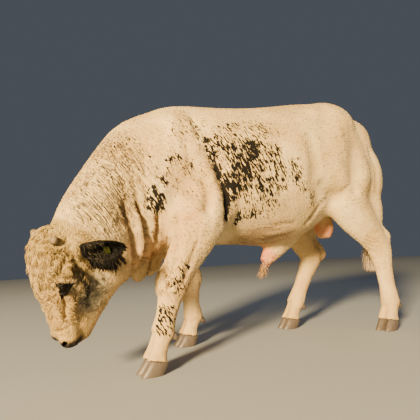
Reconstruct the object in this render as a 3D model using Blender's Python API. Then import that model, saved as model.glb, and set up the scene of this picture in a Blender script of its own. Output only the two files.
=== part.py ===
"""A Pustertaler Sprinzen bull, life size, grazing with its head down.

Metres, +Z up. The bull faces -X with its left side at -Y, and stands on z = 0.
While it is modelled, x is measured back from the withers. At the end the whole
bull is moved so that the middle of its box stands on the origin.
"""
import math
import random

import bmesh
import bpy
from mathutils import Matrix, Vector
from mathutils.bvhtree import BVHTree

# Gap kept between nodes that meet, and how finely the flesh is worked.
GAP = 0.0003
BODY_VOXEL = 0.010
HEAD_VOXEL = 0.0055
BODY_TRIANGLES = 5300
HEAD_TRIANGLES = 2300
SECTION_SIDES = 28

LEFT, RIGHT = -1, 1
SIDES = (("left", LEFT), ("right", RIGHT))

# The trunk's sections: distance behind the withers, top, bottom, half width, boxiness.
TRUNK = (
    (-0.36, 1.10, 0.56, 0.17, 2.0),
    (-0.24, 1.25, 0.50, 0.24, 2.0),
    (-0.10, 1.36, 0.52, 0.29, 2.1),
    (0.05, 1.41, 0.56, 0.31, 2.2),
    (0.25, 1.42, 0.595, 0.335, 2.25),
    (0.45, 1.435, 0.595, 0.365, 2.25),
    (0.65, 1.465, 0.58, 0.385, 2.25),
    (0.82, 1.50, 0.595, 0.375, 2.25),
    (0.97, 1.525, 0.66, 0.345, 2.3),
    (1.11, 1.525, 0.75, 0.32, 2.3),
    (1.25, 1.50, 0.82, 0.30, 2.2),
    (1.39, 1.44, 0.88, 0.24, 2.1),
    (1.50, 1.34, 0.95, 0.15, 2.0),
)

# The neck's sections: top point and bottom point in side view, y, half width.
NECK = (
    ((0.00, 1.39), (-0.02, 0.56), 0.0, 0.27),
    ((-0.15, 1.34), (-0.16, 0.47), -0.01, 0.265),
    ((-0.29, 1.255), (-0.22, 0.46), -0.04, 0.245),
    ((-0.41, 1.11), (-0.255, 0.50), -0.09, 0.22),
    ((-0.52, 0.955), (-0.30, 0.55), -0.16, 0.195),
    ((-0.60, 0.83), (-0.37, 0.56), -0.22, 0.17),
    ((-0.655, 0.71), (-0.46, 0.50), -0.27, 0.14),
)

# Joints of the legs. The left foreleg reaches forward and the right hind leg steps under.
FORELEG_JOINTS = {
    LEFT: {"elbow": (0.085, -0.275, 0.72), "knee": (-0.080, -0.265, 0.425),
           "fetlock": (-0.145, -0.26, 0.185), "toe": (-0.205, -0.26)},
    RIGHT: {"elbow": (0.16, 0.265, 0.71), "knee": (0.235, 0.225, 0.405),
            "fetlock": (0.25, 0.22, 0.165), "toe": (0.195, 0.222)},
}
HINDLEG_JOINTS = {
    LEFT: {"stifle": (1.12, -0.255, 0.86), "hock": (1.42, -0.255, 0.53),
           "fetlock": (1.475, -0.255, 0.17), "toe": (1.415, -0.262)},
    RIGHT: {"stifle": (1.04, 0.255, 0.84), "hock": (1.265, 0.245, 0.49),
            "fetlock": (1.075, 0.24, 0.16), "toe": (1.01, 0.245)},
}

# Thickness along each bone: share of the way down, half depth fore and aft, half width.
FOREARM = ((-0.60, 0.09, 0.06), (-0.30, 0.150, 0.085), (0.0, 0.145, 0.097), (0.3, 0.122, 0.09),
           (0.6, 0.099, 0.078), (0.85, 0.088, 0.074), (1.0, 0.090, 0.076))
FORE_CANNON = ((0.15, 0.084, 0.070), (0.35, 0.065, 0.056), (0.65, 0.055, 0.050),
               (0.88, 0.060, 0.058), (1.0, 0.065, 0.063))
GASKIN = ((-0.1, 0.15, 0.10), (0.1, 0.15, 0.105), (0.4, 0.134, 0.094), (0.7, 0.103, 0.074),
          (0.9, 0.088, 0.065), (1.0, 0.083, 0.064))
HIND_CANNON = ((0.12, 0.080, 0.063), (0.35, 0.063, 0.054), (0.65, 0.057, 0.050),
               (0.88, 0.062, 0.057), (1.0, 0.066, 0.063))

# Feet: the split claws, the coronet plane that they meet, and the dewclaws.
CLAW_LENGTH = 0.118
CLAW_WIDTH = 0.056
CLAW_SPREAD = 0.032
CORONET_HEIGHT = 0.066
CORONET_SLOPE = 0.22
TOE_SLOPE = 0.62
DEWCLAW_RADIUS = 0.017
DEWCLAW_LENGTH = 0.036
TRIM_DEPTH = 0.12
CLAW_SIDES = 12
CLAW_LEVELS = 3

# Seats cut for what grows out of the flesh: room at their sides, and how far they are cleared.
SOCKET_GAP = 0.0008
SOCKET_DEPTH = 0.09

# The head's frame: x runs out of the forehead, y to the bull's left, z up from the poll.
POLL = (-0.727, -0.325, 0.676)
HEAD_SIZE = 0.97
HEAD_TURN = math.radians(12)
HEAD_PITCH = math.radians(10)
HEAD_ROLL = math.radians(-12)

# The skull and the jaw: distance below the poll, front and back of the section, half width.
SKULL = (
    (0.008, -0.050, -0.120, 0.066),
    (0.034, -0.010, -0.170, 0.104),
    (0.090, 0.024, -0.220, 0.127),
    (0.150, 0.032, -0.255, 0.132),
    (0.225, 0.024, -0.262, 0.131),
    (0.290, 0.008, -0.228, 0.114),
    (0.355, -0.006, -0.187, 0.091),
    (0.415, -0.018, -0.160, 0.080),
    (0.475, -0.032, -0.148, 0.087),
    (0.515, -0.050, -0.142, 0.087),
    (0.545, -0.078, -0.136, 0.066),
)
JAW = (
    (0.080, -0.130, -0.330, 0.088),
    (0.140, -0.110, -0.440, 0.104),
    (0.205, -0.100, -0.490, 0.105),
    (0.265, -0.090, -0.458, 0.098),
    (0.330, -0.080, -0.390, 0.082),
    (0.405, -0.080, -0.308, 0.068),
    (0.485, -0.085, -0.240, 0.064),
    (0.534, -0.105, -0.205, 0.052),
)
EYE = (-0.058, 0.119, -0.236)
EYE_RADIUS = 0.0205
EYE_AIM = (0.36, 0.93, -0.06)
LID_THICKNESS = 0.006
NOSTRIL = (-0.070, 0.058, -0.508)
MOUTH_CORNER = (-0.158, 0.0, -0.425)
MOUTH_FRONT = (-0.132, 0.0, -0.556)
MOUTH_INSIDE = (-0.135, 0.0, -0.468)
MOUTH_HALF = 0.062
MOUTH_STEPS = 28
MOUTH_DEPTH = 0.009
MOUTH_WIDTH = 0.006
HORN_BASE = (-0.048, 0.093, -0.030)
HORN_AIM = (0.25, 1.0, 0.35)
HORN_LENGTH = 0.042
HORN_RADIUS = 0.019

# The ears: their stalk's seat, the way to the tip and the way the cup opens, by side.
EAR_BASE = (-0.140, 0.148, -0.078)
EAR_REACH = {1: (-0.62, 0.80, 0.02), -1: (-0.62, 0.80, 0.10)}
EAR_OPENING = {1: (0.75, 0.60, -0.35), -1: (0.75, 0.60, -0.35)}
EAR_LENGTH = 0.185
EAR_WIDTH = 0.105
EAR_STALK = 0.026
EAR_WALL = 0.008
EAR_ROWS = 9
EAR_POINTS = 9
EAR_CURL = 125
EAR_CURL_TIP = 50

# The ear tags: where along the ear, and the sizes of the flag and its stud.
TAG_SHARE = 0.60
TAG_WIDTH = 0.028
TAG_HEIGHT = 0.034
TAG_THICKNESS = 0.0025
TAG_SIDES = 20
TAG_STAND_OFF = 0.020
STUD_RADIUS = 0.0042
BUTTON_RADIUS = 0.010
BUTTON_THICKNESS = 0.0035
BUTTON_DROP = 0.006

# Where the tail hangs, behind the buttocks: x and z of its bone, and its radius.
TAIL = (
    (1.32, 1.475, 0.050), (1.43, 1.465, 0.046), (1.54, 1.38, 0.036), (1.60, 1.22, 0.028),
    (1.625, 1.02, 0.024), (1.63, 0.82, 0.021), (1.63, 0.72, 0.020), (1.63, 0.65, 0.026),
    (1.628, 0.57, 0.030), (1.625, 0.50, 0.024), (1.622, 0.44, 0.012),
)
SWITCH_TOP = 0.715

# Curly hair on the crown, as rounded clumps set close: rows, size and how far they are sunk.
CLUMP_SEED = 5
CLUMP_ROWS = 8
CLUMP_COLUMNS = 7
CLUMP_SIZE = (0.0290, 0.0245, 0.0120)
CLUMP_SIDES = 6
CLUMP_CLEAR = 0.052

# Long hair as flat tapered locks: how many, length and width.
LOCK_SEED = 7
LOCK_SIDES = 5
SWITCH_LOCKS = 9
SWITCH_LOCK = (0.20, 0.030)
FRINGE_LOCKS = 6
FRINGE_LOCK = (0.048, 0.024)
SHEATH_LOCKS = 6
SHEATH_LOCK = (0.075, 0.016)

SCROTUM = (1.18, 0.0, 0.70)
SHEATH_TIP = (0.665, 0.0, 0.475)

HIDE_CREAM = (0.80, 0.70, 0.55)
HIDE_PINK = (0.74, 0.42, 0.34)
HIDE_BLACK = (0.025, 0.023, 0.024)
HORN_GREY = (0.20, 0.16, 0.13)
EYE_BLACK = (0.012, 0.009, 0.008)
TAG_YELLOW = (0.82, 0.68, 0.06)


def clear_scene():
    """Remove everything that is in the scene."""
    for obj in list(bpy.data.objects):
        bpy.data.objects.remove(obj, do_unlink=True)


def material(name, colour, roughness):
    """Make one plain material."""
    made = bpy.data.materials.new(name)
    made.use_nodes = True
    shader = made.node_tree.nodes["Principled BSDF"]
    shader.inputs["Base Color"].default_value = (*colour, 1.0)
    shader.inputs["Roughness"].default_value = roughness
    shader.inputs["Metallic"].default_value = 0.0
    return made


def object_from(name, bm, finish=None):
    """Turn a bmesh into a named object, its faces pointing out."""
    bmesh.ops.recalc_face_normals(bm, faces=bm.faces[:])
    mesh = bpy.data.meshes.new(name)
    bm.to_mesh(mesh)
    bm.free()
    obj = bpy.data.objects.new(name, mesh)
    bpy.context.scene.collection.objects.link(obj)
    if finish:
        mesh.materials.append(finish)
    return obj


def applied(obj):
    """Replace an object's mesh by what its modifiers make of it."""
    graph = bpy.context.evaluated_depsgraph_get()
    mesh = bpy.data.meshes.new_from_object(obj.evaluated_get(graph))
    obj.modifiers.clear()
    old, obj.data = obj.data, mesh
    mesh.name = obj.name
    bpy.data.meshes.remove(old)
    return obj


def blend(points, steps):
    """Put smooth in-between rows into a row of number tuples (a Catmull-Rom curve)."""
    padded = [points[0], *points, points[-1]]
    rows = []
    for i in range(len(points) - 1):
        p0, p1, p2, p3 = padded[i:i + 4]
        for step in range(steps):
            t = step / steps
            rows.append(tuple(
                0.5 * (2 * b + (c - a) * t + (2 * a - 5 * b + 4 * c - d) * t * t
                       + (3 * b - a - 3 * c + d) * t ** 3)
                for a, b, c, d in zip(p0, p1, p2, p3)))
    rows.append(tuple(points[-1]))
    return rows


def section(centre, side, up, half_side, half_up, boxiness=2.0):
    """Points of one oval section: 2 is an ellipse, and a larger boxiness is squarer."""
    points = []
    for step in range(SECTION_SIDES):
        angle = 2 * math.pi * step / SECTION_SIDES
        c, s = math.cos(angle), math.sin(angle)
        points.append(centre
                      + side * (half_side * math.copysign(abs(c) ** (2 / boxiness), c))
                      + up * (half_up * math.copysign(abs(s) ** (2 / boxiness), s)))
    return points


def loft(bm, rings):
    """Close a skin over a row of rings."""
    rows = [[bm.verts.new(point) for point in ring] for ring in rings]
    count = len(rows[0])
    for row, after in zip(rows, rows[1:]):
        for i in range(count):
            j = (i + 1) % count
            bm.faces.new((row[i], row[j], after[j], after[i]))
    bm.faces.new(rows[0][::-1])
    bm.faces.new(rows[-1])


def ball(bm, centre, radii, frame=None, sides=24):
    """Add an ellipsoid, turned by a frame if one is given."""
    turn = frame if frame else Matrix.Identity(4)
    place = Matrix.Translation(Vector(centre)) @ turn @ Matrix.Diagonal((*radii, 1.0))
    bands = sides // 2
    rows = []
    for band in range(1, bands):
        tilt = math.pi * band / bands
        rows.append([bm.verts.new(place @ Vector((math.sin(tilt) * math.cos(angle),
                                                  math.sin(tilt) * math.sin(angle),
                                                  math.cos(tilt))))
                     for angle in (2 * math.pi * step / sides for step in range(sides))])
    top = bm.verts.new(place @ Vector((0, 0, 1)))
    bottom = bm.verts.new(place @ Vector((0, 0, -1)))
    for i in range(sides):
        j = (i + 1) % sides
        bm.faces.new((top, rows[0][i], rows[0][j]))
        bm.faces.new((bottom, rows[-1][j], rows[-1][i]))
        for row, after in zip(rows, rows[1:]):
            bm.faces.new((row[i], after[i], after[j], row[j]))


def muscle(bm, start, end, radius, flat=1.0):
    """Add a spindle of flesh between two points, flattened sideways by flat."""
    start, end = Vector(start), Vector(end)
    along = end - start
    side = Vector((0, 1, 0))
    side = (side - along.normalized() * side.dot(along.normalized())).normalized()
    fore = side.cross(along.normalized())
    frame = Matrix((fore, side, along.normalized())).transposed().to_4x4()
    length = along.length / 2 + radius * 0.35
    ball(bm, (start + end) / 2, (radius, radius * flat, length), frame)


def limb(bm, stations, steps=3):
    """Add a tapered limb: each station is x, y, z, half depth and half width."""
    rows = blend(stations, steps)
    rings = []
    for i, row in enumerate(rows):
        before = Vector(rows[max(i - 1, 0)][:3])
        after = Vector(rows[min(i + 1, len(rows) - 1)][:3])
        along = (after - before).normalized()
        side = Vector((0, 1, 0))
        side = (side - along * side.dot(along)).normalized()
        rings.append(section(Vector(row[:3]), along.cross(side), side, row[3], row[4]))
    loft(bm, rings)


def along_bone(start, end, profile):
    """Stations down one bone from its thickness profile."""
    start, end = Vector(start), Vector(end)
    return [(*start.lerp(end, share), depth, width) for share, depth, width in profile]


def head_frame():
    """The head's place in the world."""
    return (Matrix.Translation(Vector(POLL))
            @ Matrix.Rotation(math.pi + HEAD_TURN, 4, "Z")
            @ Matrix.Rotation(HEAD_PITCH, 4, "Y")
            @ Matrix.Rotation(HEAD_ROLL, 4, "X")
            @ Matrix.Scale(HEAD_SIZE, 4))


HEAD = head_frame()


def on_head(x, y, z):
    """A point of the head's frame in the world."""
    return HEAD @ Vector((x, y, z))


def head_turn():
    """The head's frame without its place."""
    return HEAD.to_3x3().to_4x4()


def add_trunk(bm):
    """Add the barrel and the hindquarters' core."""
    up, side = Vector((0, 0, 1)), Vector((0, 1, 0))
    rings = []
    for x, top, bottom, half_width, boxiness in blend(TRUNK, 3):
        centre = Vector((x, 0, (top + bottom) / 2))
        rings.append(section(centre, side, up, half_width, (top - bottom) / 2, boxiness))
    loft(bm, rings)


def add_neck(bm):
    """Add the thick neck that reaches down and to the left into the head."""
    side = Vector((0, 1, 0))
    flat_rows = [(*top, *bottom, y, width) for top, bottom, y, width in NECK]
    rings = []
    for top_x, top_z, bottom_x, bottom_z, y, half_width in blend(flat_rows, 3):
        top, bottom = Vector((top_x, y, top_z)), Vector((bottom_x, y, bottom_z))
        height = top - bottom
        rings.append(section((top + bottom) / 2, side, height.normalized(), half_width,
                             height.length / 2, 2.1))
    loft(bm, rings)


def add_shoulder(bm, side):
    """Add the shoulder and upper arm of one side."""
    y = side
    muscle(bm, (0.03, y * 0.19, 1.30), (-0.10, y * 0.25, 0.92), 0.13, 0.62)
    muscle(bm, (0.14, y * 0.22, 1.16), (0.10, y * 0.27, 0.80), 0.135, 0.62)
    ball(bm, (-0.13, y * 0.235, 0.88), (0.10, 0.085, 0.13))
    ball(bm, (0.03, y * 0.26, 0.76), (0.14, 0.085, 0.12))
    ball(bm, (-0.20, y * 0.105, 0.64), (0.12, 0.10, 0.14))


def add_hindquarter(bm, side):
    """Add the rump and the doubled muscle of one thigh."""
    y = side
    ball(bm, (1.09, y * 0.16, 1.345), (0.25, 0.17, 0.165))
    ball(bm, (0.94, y * 0.24, 1.37), (0.10, 0.075, 0.075))
    ball(bm, (1.36, y * 0.13, 1.26), (0.16, 0.13, 0.18))
    muscle(bm, (1.445, y * 0.13, 1.24), (1.44, y * 0.19, 0.86), 0.125, 0.95)
    muscle(bm, (1.25, y * 0.19, 1.25), (1.22, y * 0.25, 0.86), 0.165, 0.72)
    muscle(bm, (1.06, y * 0.21, 1.15), (1.05, y * 0.265, 0.90), 0.125, 0.72)
    hock = Vector(HINDLEG_JOINTS[side]["hock"])
    muscle(bm, (1.39, y * 0.18, 0.98), hock + Vector((-0.02, 0, 0.17)), 0.10, 0.75)
    muscle(bm, (1.27, y * 0.20, 0.95), hock + Vector((-0.14, 0, 0.20)), 0.10, 0.75)


def add_foreleg(bm, side):
    """Add one foreleg down to its split pastern."""
    joints = FORELEG_JOINTS[side]
    limb(bm, along_bone(joints["elbow"], joints["knee"], FOREARM)
         + along_bone(joints["knee"], joints["fetlock"], FORE_CANNON))
    knee = Vector(joints["knee"])
    ball(bm, knee + Vector((-0.044, 0, -0.01)), (0.052, 0.066, 0.085))
    ball(bm, Vector(joints["elbow"]) + Vector((0.085, 0, 0.045)), (0.06, 0.06, 0.07))
    add_pastern(bm, joints)


def add_hindleg(bm, side):
    """Add one hind leg down to its split pastern, with the point of its hock."""
    joints = HINDLEG_JOINTS[side]
    hock, fetlock = Vector(joints["hock"]), Vector(joints["fetlock"])
    limb(bm, along_bone(joints["stifle"], hock, GASKIN)
         + along_bone(hock, fetlock, HIND_CANNON))
    down = (fetlock - hock).normalized()
    back = Vector((-down.z, 0, down.x))
    point = hock + back * 0.088 - down * 0.075
    gaskin = Vector(joints["stifle"]).lerp(hock, 0.35) + Vector((0.09, 0, 0.03))
    limb(bm, [(*gaskin, 0.05, 0.05), (*gaskin.lerp(point, 0.6), 0.030, 0.030),
              (*point, 0.034, 0.032), (*(point.lerp(hock, 0.5) + down * 0.04), 0.040, 0.036),
              (*(hock + back * 0.028 + down * 0.12), 0.030, 0.030)])
    ball(bm, hock + back * -0.034 - down * 0.03, (0.062, 0.063, 0.105))
    add_pastern(bm, joints)


def foot_frame(joints):
    """Where a foot stands: the middle of its coronet and the way its toes point."""
    fetlock = Vector(joints["fetlock"])
    toe = Vector((*joints["toe"], CORONET_HEIGHT))
    heading = Vector((toe.x - fetlock.x, toe.y - fetlock.y, 0)).normalized()
    return toe, heading, Vector((-heading.y, heading.x, 0))


def add_pastern(bm, joints):
    """Add the two toes of flesh that run down into the claws."""
    coronet, heading, across = foot_frame(joints)
    fetlock = Vector(joints["fetlock"])
    ball(bm, fetlock - heading * 0.018, (0.048, 0.058, 0.046))
    for way in (-1, 1):
        top = fetlock + across * (way * 0.018)
        end = coronet + across * (way * CLAW_SPREAD) - Vector((0, 0, 0.03))
        limb(bm, [(*top, 0.045, 0.035), (*top.lerp(end, 0.5), 0.045, 0.031),
                  (*end, 0.054, 0.0325)])
        ball(bm, coronet + across * (way * CLAW_SPREAD) - heading * 0.035, (0.036, 0.030, 0.040))


def add_head(bm):
    """Add the skull, jaw and flesh of the head."""
    front, left, _ = head_turn().to_3x3().transposed()
    for rows, boxiness in ((SKULL, 2.35), (JAW, 2.2)):
        rings = []
        for down, front_x, back_x, half_width in blend(rows, 3):
            centre = on_head((front_x + back_x) / 2, 0, -down)
            rings.append(section(centre, left, front, half_width, (front_x - back_x) / 2,
                                 boxiness))
        loft(bm, rings)
    turn = head_turn()
    eye_x, eye_y, eye_z = EYE
    for side in (1, -1):
        ball(bm, on_head(-0.280, side * 0.066, -0.205), (0.165, 0.058, 0.130), turn)
        ball(bm, on_head(eye_x - 0.010, side * (eye_y - 0.014), eye_z + 0.034),
             (0.064, 0.024, 0.046), turn)
        ball(bm, on_head(eye_x - 0.016, side * (eye_y - 0.018), eye_z - 0.036),
             (0.056, 0.021, 0.042), turn)
        ball(bm, on_head(-0.140, side * 0.096, -0.080), (0.060, 0.052, 0.060), turn)
        head_muscle(bm, (-0.100, side * 0.104, -0.275), (-0.110, side * 0.078, -0.370), 0.022)
        ball(bm, on_head(-0.086, side * 0.050, -0.500), (0.050, 0.042, 0.048), turn)
    ball(bm, on_head(-0.158, 0, -0.524), (0.045, 0.048, 0.030), turn)
    ball(bm, on_head(-0.095, 0, -0.026), (0.078, 0.090, 0.040), turn)


def head_muscle(bm, start, end, radius):
    """Add a spindle given in the head's frame."""
    muscle(bm, on_head(*start), on_head(*end), radius)


def build_flesh(bm):
    """Add all the flesh of the bull."""
    add_trunk(bm)
    add_neck(bm)
    for _, side in SIDES:
        add_shoulder(bm, side)
        add_hindquarter(bm, side)
        add_foreleg(bm, side)
        add_hindleg(bm, side)
    ball(bm, (-0.17, 0, 0.53), (0.14, 0.12, 0.095))
    limb(bm, [(x, 0.0, z, radius, radius) for x, z, radius in TAIL])
    limb(bm, [(0.92, 0, 0.66, 0.06, 0.06), (0.80, 0, 0.60, 0.075, 0.06),
              (0.71, 0, 0.53, 0.060, 0.05), (*SHEATH_TIP, 0.036, 0.034)])
    limb(bm, [(1.17, 0, 0.86, 0.06, 0.08), (SCROTUM[0], 0, 0.79, 0.05, 0.065),
              (SCROTUM[0], 0, 0.69, 0.068, 0.085), (SCROTUM[0], 0, 0.61, 0.045, 0.055)])
    add_head(bm)


def fused(obj, voxel):
    """Fuse an object's overlapping shapes into one skin."""
    fuse = obj.modifiers.new("fuse", "REMESH")
    fuse.mode = "VOXEL"
    fuse.voxel_size = voxel
    applied(obj)
    keep_largest(obj)


def softened(obj, rounds, share=None):
    """Smooth a skin, by a share from 0 to 1 that may change from place to place."""
    soften = obj.modifiers.new("soften", "SMOOTH")
    soften.factor = 0.5
    soften.iterations = rounds
    if share:
        group = obj.vertex_groups.new(name="share")
        for vertex in obj.data.vertices:
            group.add([vertex.index], share(vertex.co), "REPLACE")
        soften.vertex_group = group.name
    applied(obj)
    obj.vertex_groups.clear()


def thinned(obj, triangles):
    """Collapse a skin to about so many triangles."""
    thin = obj.modifiers.new("thin", "DECIMATE")
    thin.ratio = triangles / sum(len(face.vertices) - 2 for face in obj.data.polygons)
    thin.use_collapse_triangulate = True
    applied(obj)


def ramp(value, low, high):
    """0 below low, 1 above high and straight between."""
    return min(1.0, max(0.0, (value - low) / (high - low)))


def body_share(point):
    """The trunk, neck and thighs are smoothed most, the lower legs and head least."""
    return ramp(point.z, 0.48, 0.68) * ramp(point.x, -0.60, -0.48) * ramp(1.56 - point.x, 0, 0.06)


def islands(bm):
    """The separate closed surfaces of a bmesh, each as a list of its faces."""
    unseen = set(bm.faces)
    found = []
    while unseen:
        start = unseen.pop()
        island, front = [start], [start]
        while front:
            face = front.pop()
            for edge in face.edges:
                for other in edge.link_faces:
                    if other in unseen:
                        unseen.discard(other)
                        island.append(other)
                        front.append(other)
        found.append(island)
    return found


def keep_largest(obj):
    """Keep only the largest closed surface of an object."""
    bm = bmesh.new()
    bm.from_mesh(obj.data)
    pieces = sorted(islands(bm), key=lambda faces: sum(face.calc_area() for face in faces))
    scraps = [face for piece in pieces[:-1] for face in piece]
    if scraps:
        bmesh.ops.delete(bm, geom=scraps, context="FACES")
    bm.to_mesh(obj.data)
    bm.free()


def slab(bm, centre, normal, half_u, half_v, thickness=GAP):
    """Add a thin cutting plate across a normal."""
    normal = Vector(normal).normalized()
    side = Vector((0, 1, 0))
    side = (side - normal * side.dot(normal)).normalized()
    frame = Matrix((side.cross(normal), side, normal)).transposed().to_4x4()
    place = (Matrix.Translation(Vector(centre)) @ frame
             @ Matrix.Diagonal((half_u * 2, half_v * 2, thickness, 1.0)))
    bmesh.ops.create_cube(bm, size=1.0, matrix=place)


def cutter_object(name, bm):
    """A guide that only cuts."""
    cutter = object_from(name, bm)
    cutter.hide_render = True
    cutter.display_type = "WIRE"
    return cutter


def cut_away(obj, cutter):
    """Cut one object by another and remove the cutter."""
    cut = obj.modifiers.new("cut", "BOOLEAN")
    cut.operation = "DIFFERENCE"
    cut.solver = "EXACT"
    cut.object = cutter
    applied(obj)
    bpy.data.objects.remove(cutter, do_unlink=True)


def head_cut():
    """Centre and normal of the cut between head and neck; the normal points at the head."""
    upper, lower = on_head(-0.105, 0, 0.045), on_head(-0.375, 0, -0.225)
    side = (head_turn() @ Vector((0, 1, 0))).normalized()
    return (upper + lower) / 2, (lower - upper).cross(side).normalized()


def body_cuts():
    """The thin cuts that part the body: centre, normal and half sizes along and across."""
    centre, normal = head_cut()
    cuts = [(centre, normal, 0.27, 0.42),
            ((-0.195, 0, 0.90), (-0.92, 0, 0.15), 0.56, 0.42),
            ((0.97, 0, 1.05), (1, 0, 0.0), 0.52, 0.46),
            ((1.555, 0, 1.345), (0.50, 0, -0.87), 0.06, 0.06),
            ((1.63, 0, SWITCH_TOP), (0, 0, 1), 0.06, 0.06),
            ((0.82, 0, 0.575), (-0.28, 0, 1), 0.19, 0.12),
            ((1.18, 0, 0.722), (0, 0, 1), 0.085, 0.10)]
    for side in (LEFT, RIGHT):
        joints = FORELEG_JOINTS[side]
        shin = Vector(joints["elbow"]).lerp(Vector(joints["knee"]), 0.68)
        cuts.append((shin, (-0.20, side * -0.20, 1), 0.18, 0.14))
        joints = HINDLEG_JOINTS[side]
        shin = Vector(joints["stifle"]).lerp(Vector(joints["hock"]), 0.55)
        cuts.append((shin, (-0.45, 0, 1), 0.34, 0.19))
    return cuts


def trim_feet(body):
    """Cut the pasterns off where the claws meet them."""
    for legs in (FORELEG_JOINTS, HINDLEG_JOINTS):
        for side in (LEFT, RIGHT):
            coronet, heading, _ = foot_frame(legs[side])
            normal = (Vector((0, 0, 1)) - heading * CORONET_SLOPE).normalized()
            bm = bmesh.new()
            slab(bm, coronet - normal * TRIM_DEPTH / 2, normal, 0.14, 0.10, TRIM_DEPTH)
            cut_away(body, cutter_object("trim", bm))


def part_body(body, finish):
    """Part the body by thin cuts and name each piece by the point nearest to it."""
    for place, normal, half_u, half_v in body_cuts():
        bm = bmesh.new()
        slab(bm, place, normal, half_u, half_v)
        cut_away(body, cutter_object("cut", bm))

    marks = {"head": on_head(-0.05, 0, -0.3), "neck": (-0.35, -0.05, 0.85),
             "torso": (0.45, 0, 1.0), "rump": (1.22, 0, 1.2), "tail": (1.625, 0, 1.0),
             "tail_switch": (1.628, 0, 0.53), "sheath": SHEATH_TIP, "scrotum": SCROTUM}
    for name, side in SIDES:
        marks["foreleg_" + name] = FORELEG_JOINTS[side]["knee"]
        marks["hindleg_" + name] = HINDLEG_JOINTS[side]["hock"]
    pieces = separated(body)
    named = {}
    for name, mark in marks.items():
        mark = Vector(mark)
        nearest = min(pieces, key=lambda piece: nearest_distance(piece, mark))
        pieces.remove(nearest)
        nearest.name = nearest.data.name = name
        nearest.data.materials.append(finish)
        named[name] = nearest
    for scrap in pieces:
        bpy.data.objects.remove(scrap, do_unlink=True)
    return named


def separated(obj):
    """Split an object into one object for each of its closed surfaces."""
    bm = bmesh.new()
    bm.from_mesh(obj.data)
    groups = []
    for island in islands(bm):
        corners = {}
        faces = []
        for face in island:
            faces.append([corners.setdefault(v.index, len(corners)) for v in face.verts])
        groups.append((list(corners), faces))
    bm.verts.ensure_lookup_table()
    pieces = []
    for indices, faces in groups:
        mesh = bpy.data.meshes.new("piece")
        mesh.from_pydata([bm.verts[i].co[:] for i in indices], [], faces)
        piece = bpy.data.objects.new("piece", mesh)
        bpy.context.scene.collection.objects.link(piece)
        pieces.append(piece)
    bm.free()
    bpy.data.objects.remove(obj, do_unlink=True)
    return pieces


def nearest_distance(obj, point):
    """How far a point is from an object's skin."""
    return min((vertex.co - point).length for vertex in obj.data.vertices)


def add_claws(finish):
    """Add the eight claws, flat on the floor."""
    for kind, legs in (("fore", FORELEG_JOINTS), ("hind", HINDLEG_JOINTS)):
        for name, side in SIDES:
            coronet, heading, across = foot_frame(legs[side])
            for way, place in ((-1, "inner"), (1, "outer")):
                way_out = way if across.y * side > 0 else -way
                add_claw(f"claw_{kind}_{name}_{place}",
                         coronet + across * (way_out * CLAW_SPREAD), heading, across, finish)


def add_dewclaws(nodes, finish):
    """Add the eight dewclaws, each in a seat behind its fetlock."""
    for name, leg, base, axis in dewclaw_places():
        socket(nodes[leg], base, axis, DEWCLAW_RADIUS, 8)
        bm = bmesh.new()
        length = DEWCLAW_LENGTH
        peg(bm, base, axis, [(length * down, DEWCLAW_RADIUS * wide) for down, wide in
                             ((0, 1.0), (0.6, 0.88), (1.0, 0.35))], 8)
        object_from(name, bm, finish)


def head_solid(finish):
    """The head from crown to muzzle, worked finer than the body, with its openings cut."""
    bm = bmesh.new()
    add_neck(bm)
    add_head(bm)
    add_face(bm)
    head = object_from("head", bm)
    fused(head, HEAD_VOXEL)
    softened(head, 8)
    centre, normal = head_cut()
    for spare, thin_first in ((0.03, True), (0.0, False)):
        bm = bmesh.new()
        back = 0.60
        slab(bm, centre - normal * (spare + back + (0 if thin_first else -GAP / 2)), normal,
             0.8, 0.8, back * 2)
        cut_away(head, cutter_object("behind", bm))
        if thin_first:
            thinned(head, HEAD_TRIANGLES)
    head.data.materials.append(finish)
    return head


def add_face(bm):
    """Add the orbits, the lips and the rims of the nostrils."""
    turn = head_turn()
    for side in (1, -1):
        x, y, z = EYE
        around = EYE_RADIUS / HEAD_SIZE + LID_THICKNESS
        ball(bm, on_head(x, side * y, z), (around * 1.15, around, around), turn)
        x, y, z = NOSTRIL
        ball(bm, on_head(x - 0.006, side * (y - 0.004), z), (0.030, 0.024, 0.030), turn)
    front = (on_head(1, 0, 0) - on_head(0, 0, 0)).normalized()
    for point in mouth_path():
        for offset, radius in ((0.010, 0.011), (-0.010, 0.010)):
            ball(bm, on_head(*point) + front * offset, (radius, radius, radius), sides=10)


def mouth_path():
    """The line of the mouth round the muzzle, from one corner to the other."""
    corner, front = Vector(MOUTH_CORNER), Vector(MOUTH_FRONT)
    points = []
    for step in range(MOUTH_STEPS + 1):
        angle = math.pi * (step / MOUTH_STEPS - 0.5)
        point = corner.lerp(front, math.cos(angle))
        points.append((point.x, MOUTH_HALF * math.sin(angle), point.z))
    return points


def eye_place(side):
    """Centre of an eyeball and the way that it looks; side is 1 on the bull's left."""
    x, y, z = EYE
    centre = on_head(x, side * y, z)
    aim_x, aim_y, aim_z = EYE_AIM
    return centre, (on_head(x + aim_x, side * (y + aim_y), z + aim_z) - centre).normalized()


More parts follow.
